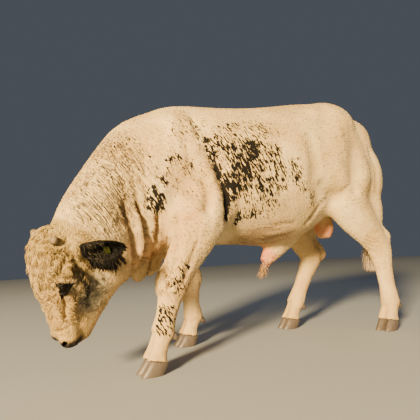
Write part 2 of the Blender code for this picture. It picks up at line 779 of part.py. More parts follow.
def open_face(head):
    """Cut the seats of the eyes, the almond between the lids, the nostrils and the mouth."""
    for side in (1, -1):
        centre, outward = eye_place(side)
        bm = bmesh.new()
        eyeball(bm, centre, outward, EYE_RADIUS + SOCKET_GAP)
        cut_away(head, cutter_object("eye seat", bm))
        bm = bmesh.new()
        front = (on_head(1, 0, -0.6) - on_head(0, 0, 0)).normalized()
        across = (front - outward * front.dot(outward)).normalized()
        frame = Matrix((across, outward.cross(across), outward)).transposed().to_4x4()
        ball(bm, centre + outward * EYE_RADIUS * 1.2,
             (EYE_RADIUS * 1.05, EYE_RADIUS * 0.62, EYE_RADIUS * 1.15), frame, 14)
        cut_away(head, cutter_object("eye opening", bm))
        x, y, z = NOSTRIL
        bm = bmesh.new()
        aim = on_head(x + 0.5, side * (y + 0.8), z - 0.2) - on_head(x, side * y, z)
        ball(bm, on_head(x + 0.010, side * (y + 0.006), z), (0.011, 0.018, 0.026),
             axis_frame(aim).to_4x4(), 12)
        cut_away(head, cutter_object("nostril", bm))
    open_mouth(head)


def open_mouth(head):
    """Cut the line of the mouth into the skin between the lips."""
    tree = BVHTree.FromObject(head, bpy.context.evaluated_depsgraph_get())
    inside = on_head(*MOUTH_INSIDE)
    path = []
    for point in mouth_path():
        target = on_head(*point)
        hit = tree.ray_cast(inside, (target - inside).normalized())[0]
        path.append(hit if hit else target)
    rings = []
    for i, point in enumerate(path):
        before, after = path[max(i - 1, 0)], path[min(i + 1, len(path) - 1)]
        along = (after - before).normalized()
        outward = (point - inside).normalized()
        across = along.cross(outward).normalized()
        end = 0.45 if i in (0, len(path) - 1) else 1.0
        rings.append([point + outward * (MOUTH_DEPTH * end * math.cos(a))
                      + across * (MOUTH_WIDTH / 2 * end * math.sin(a))
                      for a in (2 * math.pi * k / 6 for k in range(6))])
    bm = bmesh.new()
    loft(bm, rings[::2])
    cut_away(head, cutter_object("mouth", bm))


def eyeball(bm, centre, outward, radius):
    """Add an eyeball with its pole forward."""
    ball(bm, centre, (radius, radius, radius), axis_frame(outward).to_4x4(), 14)


def add_eyes(finish):
    """Add both eyeballs in their seats."""
    for name, side in (("left", 1), ("right", -1)):
        centre, outward = eye_place(side)
        bm = bmesh.new()
        eyeball(bm, centre, outward, EYE_RADIUS)
        object_from("eye_" + name, bm, finish)


def add_horns(head, finish):
    """Add the two short horn stubs, each in a seat on the crown."""
    for name, side in (("left", 1), ("right", -1)):
        x, y, z = HORN_BASE
        base = on_head(x, side * y, z)
        aim_x, aim_y, aim_z = HORN_AIM
        axis = (on_head(x + aim_x, side * (y + aim_y), z + aim_z) - base).normalized()
        socket(head, base, axis, HORN_RADIUS, 12)
        bm = bmesh.new()
        length = HORN_LENGTH
        peg(bm, base, axis, [(length * up, HORN_RADIUS * wide) for up, wide in
                             ((0, 1.0), (0.4, 0.95), (0.7, 0.78), (0.9, 0.5), (1.0, 0.22))], 12)
        object_from("horn_" + name, bm, finish)


def ear_axes(side):
    """Base point, way to the tip and way that the cup opens of one ear."""
    x, y, z = EAR_BASE
    base = on_head(x, side * y, z)
    tip_x, tip_y, tip_z = EAR_REACH[side]
    along = (on_head(x + tip_x, side * (y + tip_y), z + tip_z) - base).normalized()
    open_x, open_y, open_z = EAR_OPENING[side]
    opening = (on_head(x + open_x, side * (y + open_y), z + open_z) - base).normalized()
    opening = (opening - along * opening.dot(along)).normalized()
    return base, along, opening


def add_ears(head, finish, tag_finish):
    """Add the two cupped ears, each on its stalk in a seat behind the crown."""
    for name, side in (("left", 1), ("right", -1)):
        base, along, opening = ear_axes(side)
        bm = bmesh.new()
        ear_shape(bm, base - along * GAP, along, opening, SOCKET_GAP)
        cut_away(head, cutter_object("ear seat", bm))
        bm = bmesh.new()
        ear_shape(bm, base, along, opening)
        ear = object_from("ear_" + name, bm, finish)
        add_fringe(ear, base, along, opening)
        add_tag(name, ear, base, along, opening, tag_finish)


def add_tag(name, ear, base, along, opening, finish):
    """Add one ear tag, whose stud runs through the ear, with a flag before and a button behind."""
    skin = base + along * (EAR_LENGTH * TAG_SHARE) - opening * EAR_STALK
    bm = bmesh.new()
    peg(bm, skin - opening * 0.02, opening, ((0, STUD_RADIUS + GAP), (0.05, STUD_RADIUS + GAP)), 12)
    cut_away(ear, cutter_object("stud hole", bm))
    bm = bmesh.new()
    peg(bm, skin - opening * (BUTTON_DROP + BUTTON_THICKNESS / 2), opening,
        ((0, STUD_RADIUS), (BUTTON_DROP + TAG_STAND_OFF + BUTTON_THICKNESS / 2
                            + TAG_THICKNESS / 2, STUD_RADIUS)), 12)
    tag = object_from("tag_" + name, bm, finish)
    bm = bmesh.new()
    peg(bm, skin - opening * (BUTTON_DROP + BUTTON_THICKNESS), opening,
        ((0, BUTTON_RADIUS * 0.8), (BUTTON_THICKNESS * 0.4, BUTTON_RADIUS),
         (BUTTON_THICKNESS, BUTTON_RADIUS)), 14)
    down = Vector((0, 0, -1))
    down = (down - opening * down.dot(opening)).normalized()
    frame = Matrix((opening.cross(down), down, opening)).transposed().to_4x4()
    middle = skin + opening * (TAG_STAND_OFF + TAG_THICKNESS / 2) + down * TAG_HEIGHT * 0.22
    flag = Matrix.Translation(middle) @ frame
    outline = [(TAG_WIDTH / 2 * rounded(math.cos(angle), 0.45),
                TAG_HEIGHT / 2 * rounded(math.sin(angle), 0.45))
               for angle in (2 * math.pi * step / TAG_SIDES for step in range(TAG_SIDES))]
    loft(bm, [[flag @ Vector((x, y, z)) for x, y in outline]
              for z in (-TAG_THICKNESS / 2, TAG_THICKNESS / 2)])
    joined(tag, [object_from("tag plates", bm)])


def joined(obj, others):
    """Fuse other closed objects into one by a Boolean union and keep its largest surface."""
    collection = bpy.data.collections.new("pieces")
    for other in others:
        collection.objects.link(other)
    union = obj.modifiers.new("join", "BOOLEAN")
    union.operation = "UNION"
    union.solver = "EXACT"
    union.operand_type = "COLLECTION"
    union.collection = collection
    applied(obj)
    for other in others:
        bpy.data.objects.remove(other, do_unlink=True)
    bpy.data.collections.remove(collection)
    keep_largest(obj)


def lock(name, root, way, size, flat, sag=0.0):
    """A flat tapered lock: it starts at a root, runs a way, and bends down by its sag."""
    length, width = size
    way, flat = Vector(way).normalized(), Vector(flat).normalized()
    bm = bmesh.new()
    rings = []
    for share, wide in ((0.0, 0.7), (0.35, 1.0), (0.7, 0.75), (1.0, 0.12)):
        centre = Vector(root) + way * (length * share) + Vector((0, 0, -sag * length * share ** 2))
        side = flat.cross(way).normalized()
        rings.append([centre + side * (width / 2 * wide * math.cos(angle))
                      + side.cross(way) * (width / 5 * wide * math.sin(angle))
                      for angle in (2 * math.pi * step / LOCK_SIDES
                                    for step in range(LOCK_SIDES))])
    loft(bm, rings)
    return object_from(name, bm)


def add_clumps(head):
    """Set rounded clumps of curly hair close together on the poll and the forehead."""
    draw = random.Random(CLUMP_SEED)
    tree = BVHTree.FromObject(head, bpy.context.evaluated_depsgraph_get())
    middle = on_head(-0.13, 0, -0.13)
    cut_centre, cut_normal = head_cut()
    clumps = []
    for row in range(CLUMP_ROWS):
        for column in range(CLUMP_COLUMNS):
            tilt = math.radians(78 - 17.5 * (row + draw.uniform(-0.2, 0.2)))
            turn = math.radians(20 * (column - (CLUMP_COLUMNS - 1) / 2 + 0.5 * (row % 2) - 0.25))
            x, y = math.cos(tilt) * math.cos(turn), math.cos(tilt) * math.sin(turn)
            outward = on_head(x, y, math.sin(tilt)) - on_head(0, 0, 0)
            place, normal, _, _ = tree.ray_cast(middle, outward.normalized())
            if place is None or row == 0 and column % 2:
                continue
            if (place - cut_centre).dot(cut_normal) ** 2 < CLUMP_CLEAR ** 2:
                continue
            if min((place - eye_place(side)[0]).length for side in (1, -1)) < CLUMP_CLEAR:
                continue
            frame = axis_frame(normal) @ Matrix.Rotation(draw.uniform(0, math.pi), 3, "Z")
            radii = [radius * draw.uniform(0.85, 1.2) for radius in CLUMP_SIZE]
            bm = bmesh.new()
            ball(bm, place + normal * 0.001, radii, frame.to_4x4(), CLUMP_SIDES)
            clumps.append(object_from("clump", bm))
    joined(head, clumps)


def add_switch_locks(switch):
    """Hang long locks round the end of the tail."""
    draw = random.Random(LOCK_SEED)
    locks = []
    for step in range(SWITCH_LOCKS):
        angle = 2 * math.pi * step / SWITCH_LOCKS
        outward = Vector((math.cos(angle), math.sin(angle), 0))
        root = Vector((1.628, 0, draw.uniform(0.55, 0.66))) + outward * 0.014
        length = SWITCH_LOCK[0] * draw.uniform(0.8, 1.15)
        locks.append(lock("lock", root, outward * 0.13 + Vector((0, 0, -1)),
                          (length, SWITCH_LOCK[1]), outward))
    joined(switch, locks)


def add_sheath_locks(sheath):
    """Hang the tuft of hair from the sheath's opening."""
    draw = random.Random(LOCK_SEED + 1)
    locks = []
    for step in range(SHEATH_LOCKS):
        angle = 2 * math.pi * step / SHEATH_LOCKS
        outward = Vector((math.cos(angle), math.sin(angle), 0))
        root = Vector(SHEATH_TIP) + outward * 0.012 + Vector((0.01, 0, 0.012))
        length = SHEATH_LOCK[0] * draw.uniform(0.75, 1.1)
        way = outward * 0.22 + Vector((-0.25, 0, -1))
        locks.append(lock("lock", root, way, (length, SHEATH_LOCK[1]), outward))
    joined(sheath, locks)


def add_fringe(ear, base, along, opening):
    """Root the fringe of locks in the lower rim of one ear."""
    draw = random.Random(LOCK_SEED + 2)
    across = along.cross(opening)
    if across.z > 0:
        across = -across
    locks = []
    for step in range(FRINGE_LOCKS):
        share = 0.34 + 0.10 * step
        rim = ear_radius(share)
        spread = ear_spread(share)
        centre = base + along * (EAR_LENGTH * share) + opening * (rim - EAR_STALK)
        middle = rim - EAR_WALL * 0.4
        root = (centre - opening * (middle * math.cos(spread * 0.93))
                + across * (middle * math.sin(spread * 0.93)))
        way = across * 0.8 + along * 0.65 + Vector((0, 0, -0.35))
        length = FRINGE_LOCK[0] * draw.uniform(0.8, 1.2)
        locks.append(lock("lock", root, way, (length, FRINGE_LOCK[1]), opening))
    joined(ear, locks)


def ear_spread(share):
    """How far round the cup reaches on either side, along the ear."""
    return math.radians(EAR_CURL - (EAR_CURL - EAR_CURL_TIP) * share)


def ear_radius(share):
    """The cup's radius along the ear."""
    half_width = EAR_STALK + (EAR_WIDTH / 2 - EAR_STALK) * math.sin(
        math.pi * min(1.0, share * 1.9) / 2) ** 1.4
    if share > 0.55:
        half_width *= math.cos((share - 0.55) / 0.45 * math.pi / 2 * 0.93) ** 0.62
    return half_width / math.sin(min(ear_spread(share), math.pi / 2))


def ear_shape(bm, base, along, opening, room=0.0):
    """Add one ear: a stalk that opens into a cup and narrows to a round tip.

    With some room it is the ear's seat instead: that much wider, and its cup is filled.
    """
    across = along.cross(opening)
    rings = []
    for row in range(EAR_ROWS + 1):
        share = row / EAR_ROWS
        cup = 0.0 if room else ramp(share, 0.10, 0.30)
        spread = ear_spread(share)
        radius = ear_radius(share) + room
        wall = EAR_WALL * (1.0 - 0.35 * share)
        centre = base + along * (EAR_LENGTH * share) + opening * (radius - room - EAR_STALK)
        ring = []
        for k in range(EAR_POINTS):
            angle = spread * (2 * k / (EAR_POINTS - 1) - 1)
            ring.append(centre - opening * (radius * math.cos(angle))
                        + across * (radius * math.sin(angle)))
        for k in reversed(range(EAR_POINTS)):
            turn = 2 * k / (EAR_POINTS - 1) - 1
            angle = spread * turn * (1 - 0.04 * cup)
            inner = radius - wall
            arc = (centre - opening * (inner * math.cos(angle))
                   + across * (inner * math.sin(angle)))
            shut = 1.0 if room else 0.9
            lid = (centre - opening * (radius * math.cos(spread) * shut)
                   + across * (radius * math.sin(spread) * turn * shut))
            ring.append(lid.lerp(arc, cup))
        rings.append(ring)
    loft(bm, rings)


def add_claw(name, coronet, heading, across, finish):
    """Add one claw: a flat sole, a sloped wall in front and a top in the coronet's plane."""
    bm = bmesh.new()
    rings = []
    for level in range(CLAW_LEVELS + 1):
        rise = level / CLAW_LEVELS
        ring = []
        for step in range(CLAW_SIDES):
            angle = 2 * math.pi * step / CLAW_SIDES
            forward, sideways = math.cos(angle), math.sin(angle)
            x = 0.012 + CLAW_LENGTH / 2 * (1 - 0.10 * rise) * rounded(forward, 0.85)
            narrowing = 1 - 0.04 * rise - 0.18 * max(0.0, forward) ** 2
            y = CLAW_WIDTH / 2 * narrowing * rounded(sideways, 0.75)
            top = (CORONET_HEIGHT + CORONET_SLOPE * x) / (1 + CORONET_SLOPE * TOE_SLOPE) - GAP
            z = top * rise
            ring.append(Vector((coronet.x, coronet.y, z)) + heading * (x - TOE_SLOPE * z)
                        + across * y)
        rings.append(ring)
    loft(bm, rings)
    return object_from(name, bm, finish)


def rounded(value, power):
    """A power of a value that keeps its sign."""
    return math.copysign(abs(value) ** power, value)


def axis_frame(axis):
    """A frame whose z runs along an axis."""
    axis = Vector(axis).normalized()
    side = Vector((0, 0, 1)).cross(axis).normalized()
    return Matrix((side, axis.cross(side), axis)).transposed()


def peg(bm, base, axis, profile, sides):
    """Add a round peg from a flat base: each step is a height and a radius."""
    frame = axis_frame(axis)
    angles = [2 * math.pi * step / sides for step in range(sides)]
    loft(bm, [[Vector(base) + frame @ Vector((radius * math.cos(angle),
                                              radius * math.sin(angle), height))
               for angle in angles] for height, radius in profile])


def socket(body, base, axis, radius, sides, depth=SOCKET_DEPTH):
    """Cut a flat-bottomed seat for a peg, a hair wider than it and a hair deeper."""
    axis = Vector(axis).normalized()
    bm = bmesh.new()
    peg(bm, Vector(base) - axis * GAP, axis,
        ((0.0, radius + SOCKET_GAP), (depth, radius + SOCKET_GAP)), sides)
    cut_away(body, cutter_object("seat", bm))


def dewclaw_places():
    """Name, leg's name, base and axis of each dewclaw."""
    places = []
    for kind, legs in (("fore", FORELEG_JOINTS), ("hind", HINDLEG_JOINTS)):
        for name, side in SIDES:
            _, heading, across = foot_frame(legs[side])
            fetlock = Vector(legs[side]["fetlock"])
            for way, place in ((-1, "inner"), (1, "outer")):
                way_out = way if across.y * side > 0 else -way
                axis = (heading * -0.75 + Vector((0, 0, -1)) + across * (way_out * 0.15)).normalized()
                base = fetlock - heading * 0.044 + across * (way_out * 0.025) - Vector((0, 0, 0.010))
                places.append((f"dewclaw_{kind}_{name}_{place}", f"{kind}leg_{name}", base, axis))
    return places


def main():
    """Build the bull."""
    clear_scene()
    cream = material("cream hide", HIDE_CREAM, 0.85)
    black = material("black hide", HIDE_BLACK, 0.8)
    pink = material("pink hide", HIDE_PINK, 0.7)
    claw = material("claw horn", HORN_GREY, 0.5)
    horn = material("stub horn", HORN_GREY, 0.6)
    eye = material("eye", EYE_BLACK, 0.08)
    yellow = material("ear tag", TAG_YELLOW, 0.45)
    bm = bmesh.new()
    build_flesh(bm)
    body = object_from("body", bm)
    fused(body, BODY_VOXEL)
    softened(body, 4)
    softened(body, 60, body_share)
    thinned(body, BODY_TRIANGLES)
    trim_feet(body)
    nodes = part_body(body, cream)
    for name in ("sheath", "scrotum"):
        nodes[name].data.materials.clear()
        nodes[name].data.materials.append(pink)
    add_claws(claw)
    add_dewclaws(nodes, claw)
    bpy.data.objects.remove(nodes.pop("head"), do_unlink=True)
    head = head_solid(cream)
    add_clumps(head)
    add_switch_locks(nodes["tail_switch"])
    add_sheath_locks(nodes["sheath"])
    add_horns(head, horn)
    add_ears(head, black, yellow)
    open_face(head)
    add_eyes(eye)
    stand_on_origin()


def stand_on_origin():
    """Move the whole bull so that the middle of its box's floor is the origin."""
    points = [vertex.co for obj in bpy.data.objects for vertex in obj.data.vertices]
    low = Vector([min(point[axis] for point in points) for axis in range(3)])
    high = Vector([max(point[axis] for point in points) for axis in range(3)])
    move = Vector((-(low.x + high.x) / 2, -(low.y + high.y) / 2, -low.z))
    for obj in bpy.data.objects:
        obj.data.transform(Matrix.Translation(move))
        obj.data.update()


main()
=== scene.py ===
"""The looks of a grazing bull over its solids: hide, coat, eyes, horn, tags and stage.

Metres, +Z up. Shapes are worked in the bull's own frame, with x measured back from the
withers, or in the head's frame, and are then moved onto the solids.
"""
import math

import bmesh
import bpy
import numpy as np
from bpy.props import FloatProperty, FloatVectorProperty, IntProperty, PointerProperty
from mathutils import Matrix, Vector
from mathutils.bvhtree import BVHTree


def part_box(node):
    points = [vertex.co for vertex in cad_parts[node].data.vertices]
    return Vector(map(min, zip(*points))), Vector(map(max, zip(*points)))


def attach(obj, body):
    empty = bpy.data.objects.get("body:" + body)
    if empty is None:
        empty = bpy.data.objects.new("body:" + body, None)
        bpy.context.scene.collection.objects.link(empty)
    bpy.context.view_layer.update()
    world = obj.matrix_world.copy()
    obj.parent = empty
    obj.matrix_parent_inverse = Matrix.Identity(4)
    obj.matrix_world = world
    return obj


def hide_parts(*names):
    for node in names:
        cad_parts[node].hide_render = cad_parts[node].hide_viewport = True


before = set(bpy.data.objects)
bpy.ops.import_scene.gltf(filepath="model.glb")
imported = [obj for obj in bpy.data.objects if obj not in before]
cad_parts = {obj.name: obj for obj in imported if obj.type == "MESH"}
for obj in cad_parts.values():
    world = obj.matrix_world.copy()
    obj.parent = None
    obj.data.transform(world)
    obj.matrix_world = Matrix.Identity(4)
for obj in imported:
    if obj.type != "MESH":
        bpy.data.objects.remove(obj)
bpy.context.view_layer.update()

bl_info = {
    "name": "Grazing bull",
    "version": (1, 0, 0),
    "blender": (4, 5, 0),
    "location": "View3D > Sidebar > Bull",
    "description": "Builds the hide, coat and fittings of a grazing bull over its solids",
    "category": "Object",
}

FLESH = ["torso", "rump", "neck", "head", "tail", "sheath", "scrotum",
         "foreleg_left", "foreleg_right", "hindleg_left", "hindleg_right"]
CLAWS = [f"claw_{kind}_{side}_{place}" for kind in ("fore", "hind")
         for side in ("left", "right") for place in ("inner", "outer")]
DEWCLAWS = ["dew" + name for name in CLAWS]

# The middle of one claw in the bull's frame, which ties that frame to the solids.
CLAW_MARK = (1.4193, -0.2938)

# The head's frame: x runs out of the forehead, y to the bull's left, z up from the poll.
POLL = (-0.727, -0.325, 0.676)
HEAD_SIZE = 0.97
HEAD_TURN = math.radians(12)
HEAD_PITCH = math.radians(10)
HEAD_ROLL = math.radians(-12)
EYE_AIM = (0.36, 0.93, -0.06)
EYE_SLANT = (1.0, 0.0, -0.6)

# An eye is bare inside an almond, in shares of its radius. Its lids end where the almond's
# measure is LID_END, and stand these lengths off the eyeball.
UPPER_LID = 0.66
LOWER_LID = 0.52
LID_END = 2.6
LID_GAP = 0.0035
LEAST_LID_GAP = 0.0025
LID_RISE = 0.006
EYE_REACH = 2.4

SEED = 11


def box_of(name):
    """The low and high corners of a solid's box."""
    low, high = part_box(name)
    return np.array(low), np.array(high)


# What is added to a point of the bull's frame to find it on the solids.
OFFSET = np.append(np.mean(box_of("claw_hind_left_outer"), axis=0)[:2] - CLAW_MARK, 0.0)
HEAD = np.array(Matrix.Translation(Vector(POLL))
                @ Matrix.Rotation(math.pi + HEAD_TURN, 4, "Z")
                @ Matrix.Rotation(HEAD_PITCH, 4, "Y")
                @ Matrix.Rotation(HEAD_ROLL, 4, "X")
                @ Matrix.Scale(HEAD_SIZE, 4))
HEAD_BACK = np.linalg.inv(HEAD)


def in_bull(points):
    """Points on the solids, in the bull's frame."""
    return points - OFFSET


def in_head(points):
    """Points on the solids, in the head's frame."""
    return in_bull(points) @ HEAD_BACK[:3, :3].T + HEAD_BACK[:3, 3]


def from_head(points):
    """Points of the head's frame, on the solids."""
    return np.asarray(points) @ HEAD[:3, :3].T + HEAD[:3, 3] + OFFSET


def turned_from_head(ways):
    """Directions of the head's frame, in the world, of length one."""
    turned = np.asarray(ways, float) @ HEAD[:3, :3].T
    return turned / np.linalg.norm(turned, axis=-1, keepdims=True)


def smooth(value, low, high):
    """0 below low, 1 above high and an even rise between them."""
    share = np.clip((value - low) / (high - low), 0.0, 1.0)
    return share * share * (3 - 2 * share)


def blob(points, centre, radii):
    """1 at a centre, falling to 0 at an ellipsoid's skin."""
    away = np.linalg.norm((points - np.array(centre)) / np.array(radii), axis=-1)
    return 1 - smooth(away, 0.45, 1.0)


def spots(points, places):
    """The strongest of several blobs, each with its own share."""
    return np.max([share * blob(points, centre, radii) for share, centre, radii in places], axis=0)


def unit(ways):
    """Directions of length one."""
    return ways / (np.linalg.norm(ways, axis=-1, keepdims=True) + 1e-12)


def line_distance(points, line):
    """How far points are from a line of a few corners, flat or in space."""
    line = np.array(line, float)
    nearest = np.full(len(points), 9.0)
    for start, end in zip(line, line[1:]):
        along = end - start
        share = np.clip((points - start) @ along / (along @ along), 0, 1)
        away = np.linalg.norm(points - start - share[:, None] * along, axis=1)
        nearest = np.minimum(nearest, away)
    return nearest


# Folds and swells of the hide, seen from the side: corners (x, z), reach, depth and side, which
# on_side explains. A depth below 0 is a swell.
FOLDS = (
    (((0.08, 1.26), (0.111, 1.114), (0.170, 0.984), (0.212, 0.855), (0.205, 0.72)),
     0.034, 0.017, 0),
    (((0.035, 1.24), (0.060, 1.10), (0.110, 0.97), (0.140, 0.86)), 0.070, -0.009, 0),
    (((0.255, 1.18), (0.265, 1.04), (0.270, 0.88), (0.275, 0.74)), 0.045, -0.008, 0),
    (((-0.10, 1.22), (-0.13, 1.08), (-0.14, 0.95)), 0.050, 0.008, 0),
    (((-0.03, 1.26), (-0.03, 1.12), (0.00, 1.00)), 0.045, -0.007, 0),
    (((0.02, 0.985), (0.090, 0.935), (0.108, 0.86), (0.085, 0.78)), 0.046, 0.018, 0),
    (((-0.03, 0.84), (0.02, 0.79)), 0.055, -0.012, 0),
    (((0.13, 0.90), (0.150, 0.80), (0.13, 0.72)), 0.045, -0.005, 0),
    (((-0.328, 0.80), (-0.302, 0.71), (-0.278, 0.63), (-0.268, 0.55), (-0.274, 0.47),
      (-0.287, 0.40)), 0.022, 0.022, -2),
    (((-0.262, 0.75), (-0.246, 0.685), (-0.230, 0.62), (-0.240, 0.55), (-0.244, 0.47),
      (-0.252, 0.39)), 0.026, -0.024, -2),
    (((-0.264, 0.565), (-0.240, 0.551), (-0.216, 0.562)), 0.014, 0.007, -1),
    (((-0.248, 0.80), (-0.219, 0.715), (-0.196, 0.64), (-0.208, 0.555), (-0.216, 0.47),
      (-0.216, 0.39)), 0.020, 0.028, -2),
    (((-0.180, 0.80), (-0.168, 0.71), (-0.168, 0.65)), 0.032, -0.014, -1),
    (((-0.189, 0.535), (-0.173, 0.48), (-0.172, 0.39)), 0.025, -0.020, -2),
    (((-0.148, 0.74), (-0.140, 0.64), (-0.145, 0.57), (-0.134, 0.50), (-0.128, 0.40)),
     0.017, 0.021, -2),
    (((-0.335, 0.92), (-0.318, 0.82), (-0.330, 0.72)), 0.016, 0.007, -1),
    (((-0.285, 0.95), (-0.262, 0.88), (-0.255, 0.80)), 0.015, 0.007, -1),
    (((-0.235, 0.93), (-0.212, 0.86), (-0.208, 0.80)), 0.014, 0.006, -1),
    (((0.80, 1.18), (0.81, 1.04), (0.80, 0.94), (0.84, 0.86)), 0.085, 0.018, 0),
    (((1.06, 1.20), (1.05, 1.08), (1.03, 0.99)), 0.170, -0.034, 0),
    (((0.88, 0.930), (0.95, 0.885), (1.04, 0.865), (1.13, 0.895)), 0.060, 0.020, 0),
    (((1.24, 1.12), (1.25, 1.02), (1.22, 0.90)), 0.090, -0.008, 0),
    (((1.37, 1.18), (1.39, 1.06), (1.375, 0.92)), 0.050, -0.010, 0),
    (((0.78, 1.30), (0.93, 1.30), (1.06, 1.27)), 0.050, -0.010, 0),
    (((0.90, 0.83), (0.84, 0.76), (0.80, 0.70)), 0.025, 0.010, 0),
    (((0.52, 0.67), (0.60, 0.70), (0.69, 0.70)), 0.016, 0.010, 0),
    (((0.54, 0.635), (0.62, 0.655), (0.70, 0.665)), 0.018, -0.008, 0),
    (((0.52, 0.60), (0.60, 0.62), (0.68, 0.635)), 0.014, 0.008, 0),
    (((0.02, 0.62), (-0.02, 0.52), (-0.05, 0.44)), 0.022, 0.007, 0),
    (((-0.06, 0.74), (-0.07, 0.62), (-0.09, 0.52)), 0.030, 0.008, 0),
    (((1.24, 0.615), (1.30, 0.590), (1.35, 0.60)), 0.010, 0.007, -1),
    (((1.25, 0.592), (1.31, 0.565), (1.36, 0.575)), 0.010, 0.007, -1),
    (((1.26, 0.568), (1.33, 0.540)), 0.010, 0.006, -1),
    (((1.20, 0.64), (1.27, 0.625), (1.34, 0.63)), 0.010, 0.005, -1),
)

# The wrinkles across the neck: the way from one to the next, radians a metre, and depth.
FURROW_WAY = (0.80, 0.0, 0.60)
FURROW_PITCH = 205
FURROW_DEPTH = 0.0090

# Clumps of the crown, lumps of the face and unevenness of the body.
CLUMP_WIDTH = 0.030
CLUMP_HEIGHT = 0.0070
CLUMP_SINK = 0.0040
CROWN_SWELL = 0.014
FACE_LUMP_WIDTH = 0.042
FACE_LUMP_DEPTH = 0.0016
BODY_LUMP_DEPTH = 0.0014

# Patches of flecks on both sides, seen from the side: middle x and z, reach along x and z,
# strength and slant.
PATCHES = (
    (0.41, 0.98, 0.23, 0.31, 0.60, -0.22), (0.42, 1.08, 0.15, 0.16, 0.74, -0.30),
    (0.375, 1.11, 0.075, 0.100, 1.25, -0.35), (0.33, 1.00, 0.07, 0.16, 0.92, -0.30),
    (0.42, 1.02, 0.05, 0.09, 0.92, -0.30), (0.53, 1.12, 0.05, 0.08, 0.80, -0.30),
    (0.30, 0.92, 0.05, 0.12, 0.84, -0.20), (0.45, 0.88, 0.13, 0.14, 0.68, -0.15),
    (0.56, 0.96, 0.05, 0.13, 0.80, -0.10),
    (0.30, 1.22, 0.16, 0.07, 0.62, -0.30), (0.47, 1.23, 0.12, 0.08, 0.66, -0.30),
    (0.214, 0.84, 0.034, 0.170, 1.50, 0.05), (0.185, 0.96, 0.032, 0.13, 1.20, -0.35),
    (0.140, 1.09, 0.035, 0.15, 0.98, -0.42), (0.08, 1.22, 0.05, 0.09, 0.66, -0.40),
    (0.65, 0.99, 0.060, 0.110, 0.76, -0.10), (0.70, 0.90, 0.06, 0.08, 0.55, 0.0),
    (0.315, 0.74, 0.026, 0.055, 1.25, 0.0), (0.40, 0.76, 0.10, 0.06, 0.70, 0.0),
    (0.80, 0.84, 0.06, 0.07, 0.60, 0.0), (-0.148, 0.805, 0.045, 0.075, 1.06, 0.20),
    (-0.185, 0.84, 0.05, 0.09, 0.74, 0.20), (-0.125, 0.925, 0.045, 0.035, 0.86, -0.2),
    (-0.065, 1.035, 0.075, 0.030, 0.80, -0.2), (0.03, 1.19, 0.13, 0.13, 0.46, -0.3),
    (-0.02, 0.95, 0.17, 0.15, 0.40, 0.0), (-0.080, 0.42, 0.075, 0.075, 0.66, 0.0),
    (-0.15, 0.25, 0.08, 0.11, 0.78, 0.0), (-0.045, 0.47, 0.05, 0.06, 0.80, 0.0),
    (0.27, 1.05, 0.07, 0.16, 0.96, -0.30),
    (0.25, 0.90, 0.05, 0.13, 1.00, -0.15), (0.22, 1.12, 0.05, 0.11, 0.84, -0.40),
    (-0.33, 1.02, 0.22, 0.24, 0.33, -0.2), (-0.28, 1.10, 0.10, 0.10, 0.45, -0.2),
)

# Blobs from here on are a share, a middle and three radii. These are painted shade under the belly
# and on the lower ribs.
BELLY_SHADE = ((0.85, (0.53, 0, 0.635), (0.24, 1, 0.075)),
                 (0.35, (0.50, 0, 0.72), (0.30, 1, 0.15)))

# Where the neck is furrowed, and where its ripples are bumped and painted with shade in their
# troughs.
FURROWED = ((1.0, (-0.38, 0, 1.06), (0.36, 1, 0.34)), (1.0, (-0.42, 0, 0.84), (0.26, 1, 0.22)))
RIPPLED = ((1.0, (-0.36, 0, 1.06), (0.24, 1, 0.22)), (1.0, (-0.42, 0, 0.84), (0.26, 1, 0.24)))

# Warm stains: on the shoulder's side alone, and all round.
SHOULDER_STAIN = (0.55, (0.02, 0, 0.95), (0.18, 1, 0.32))
STAINS = (
    (1.5, (-0.155, 0, 0.34), (0.045, 1, 0.11)), (0.45, (-0.05, 0, 0.62), (0.16, 1, 0.24)),
    (0.5, (0.55, 0, 0.66), (0.28, 1, 0.10)), (0.1, (-0.24, 0, 0.62), (0.14, 1, 0.20)),
    (0.1, (-0.42, 0, 1.10), (0.24, 1, 0.22)),
)

# Thinly haired skin: scrotum and sheath, and the throat seen from the side.
BARE = ((1.0, (1.18, 0, 0.66), (0.13, 0.14, 0.11)), (1.0, (0.66, 0, 0.50), (0.12, 0.10, 0.10)))
BARE_THROAT = (0.12, (-0.20, 0, 0.60), (0.14, 1, 0.14))

# On the head, in its own frame: the shade behind the ear, the thick of the cheek's streak, and
# where dark hairs are mixed in, with painted shade greying the shaded cheek and jaw.
EAR_SHADE = (0.6, (-0.185, 0.135, -0.10), (0.06, 0.05, 0.05))
STREAK_CORE = (1.0, (-0.168, 0.105, -0.290), (0.022, 0.05, 0.080))
GRIZZLED_AND_SHADED = ((1.0, (-0.19, 0.10, -0.31), (0.10, 0.09, 0.15)),
            (0.4, (-0.115, 0.11, -0.20), (0.06, 0.07, 0.12)))

# Locks: how flat they are and how deep a tuft is rooted.
LOCK_THIN = 0.45
ROOT_SINK = 0.0015
TUFT_STEPS = 3
DOWN = np.array((0.0, 0.0, -1.0))

# The crown's curls. Most are wavy, and the others are hooks.
STRANDS = 4
STRAND_SPREAD = 0.0022
STRAND_WIDTH = 0.0027
CURL_STEPS = 7
CURL_RADIUS = 0.0060
CURL_RISE = 0.0030
WAVY_SHARE = 0.93
WAVY_LENGTH = 0.028
WAVY_SWAY = 0.0030

# Fixed tones of the coat's markings and of the shade painted on it.
TAN = (0.40, 0.288, 0.088)
DUST = (0.36, 0.255, 0.120)
# Grey of grizzled hair, also used as painted shade on the shaded cheek and jaw.
GRIZZLE_AND_SHADE = (0.29, 0.285, 0.225)
DARK_HAIR = (0.060, 0.058, 0.044)
# Painted shade in the troughs of the neck's ripples.
RIPPLE_SHADE = (0.10, 0.072, 0.048)
# Painted shade in the crevices between the crown's curls.
CREVICE_SHADE = (0.115, 0.070, 0.034)
# Brown of the face's wisps, and painted shade in creases and furrows.
BROWN = (0.17, 0.095, 0.042)
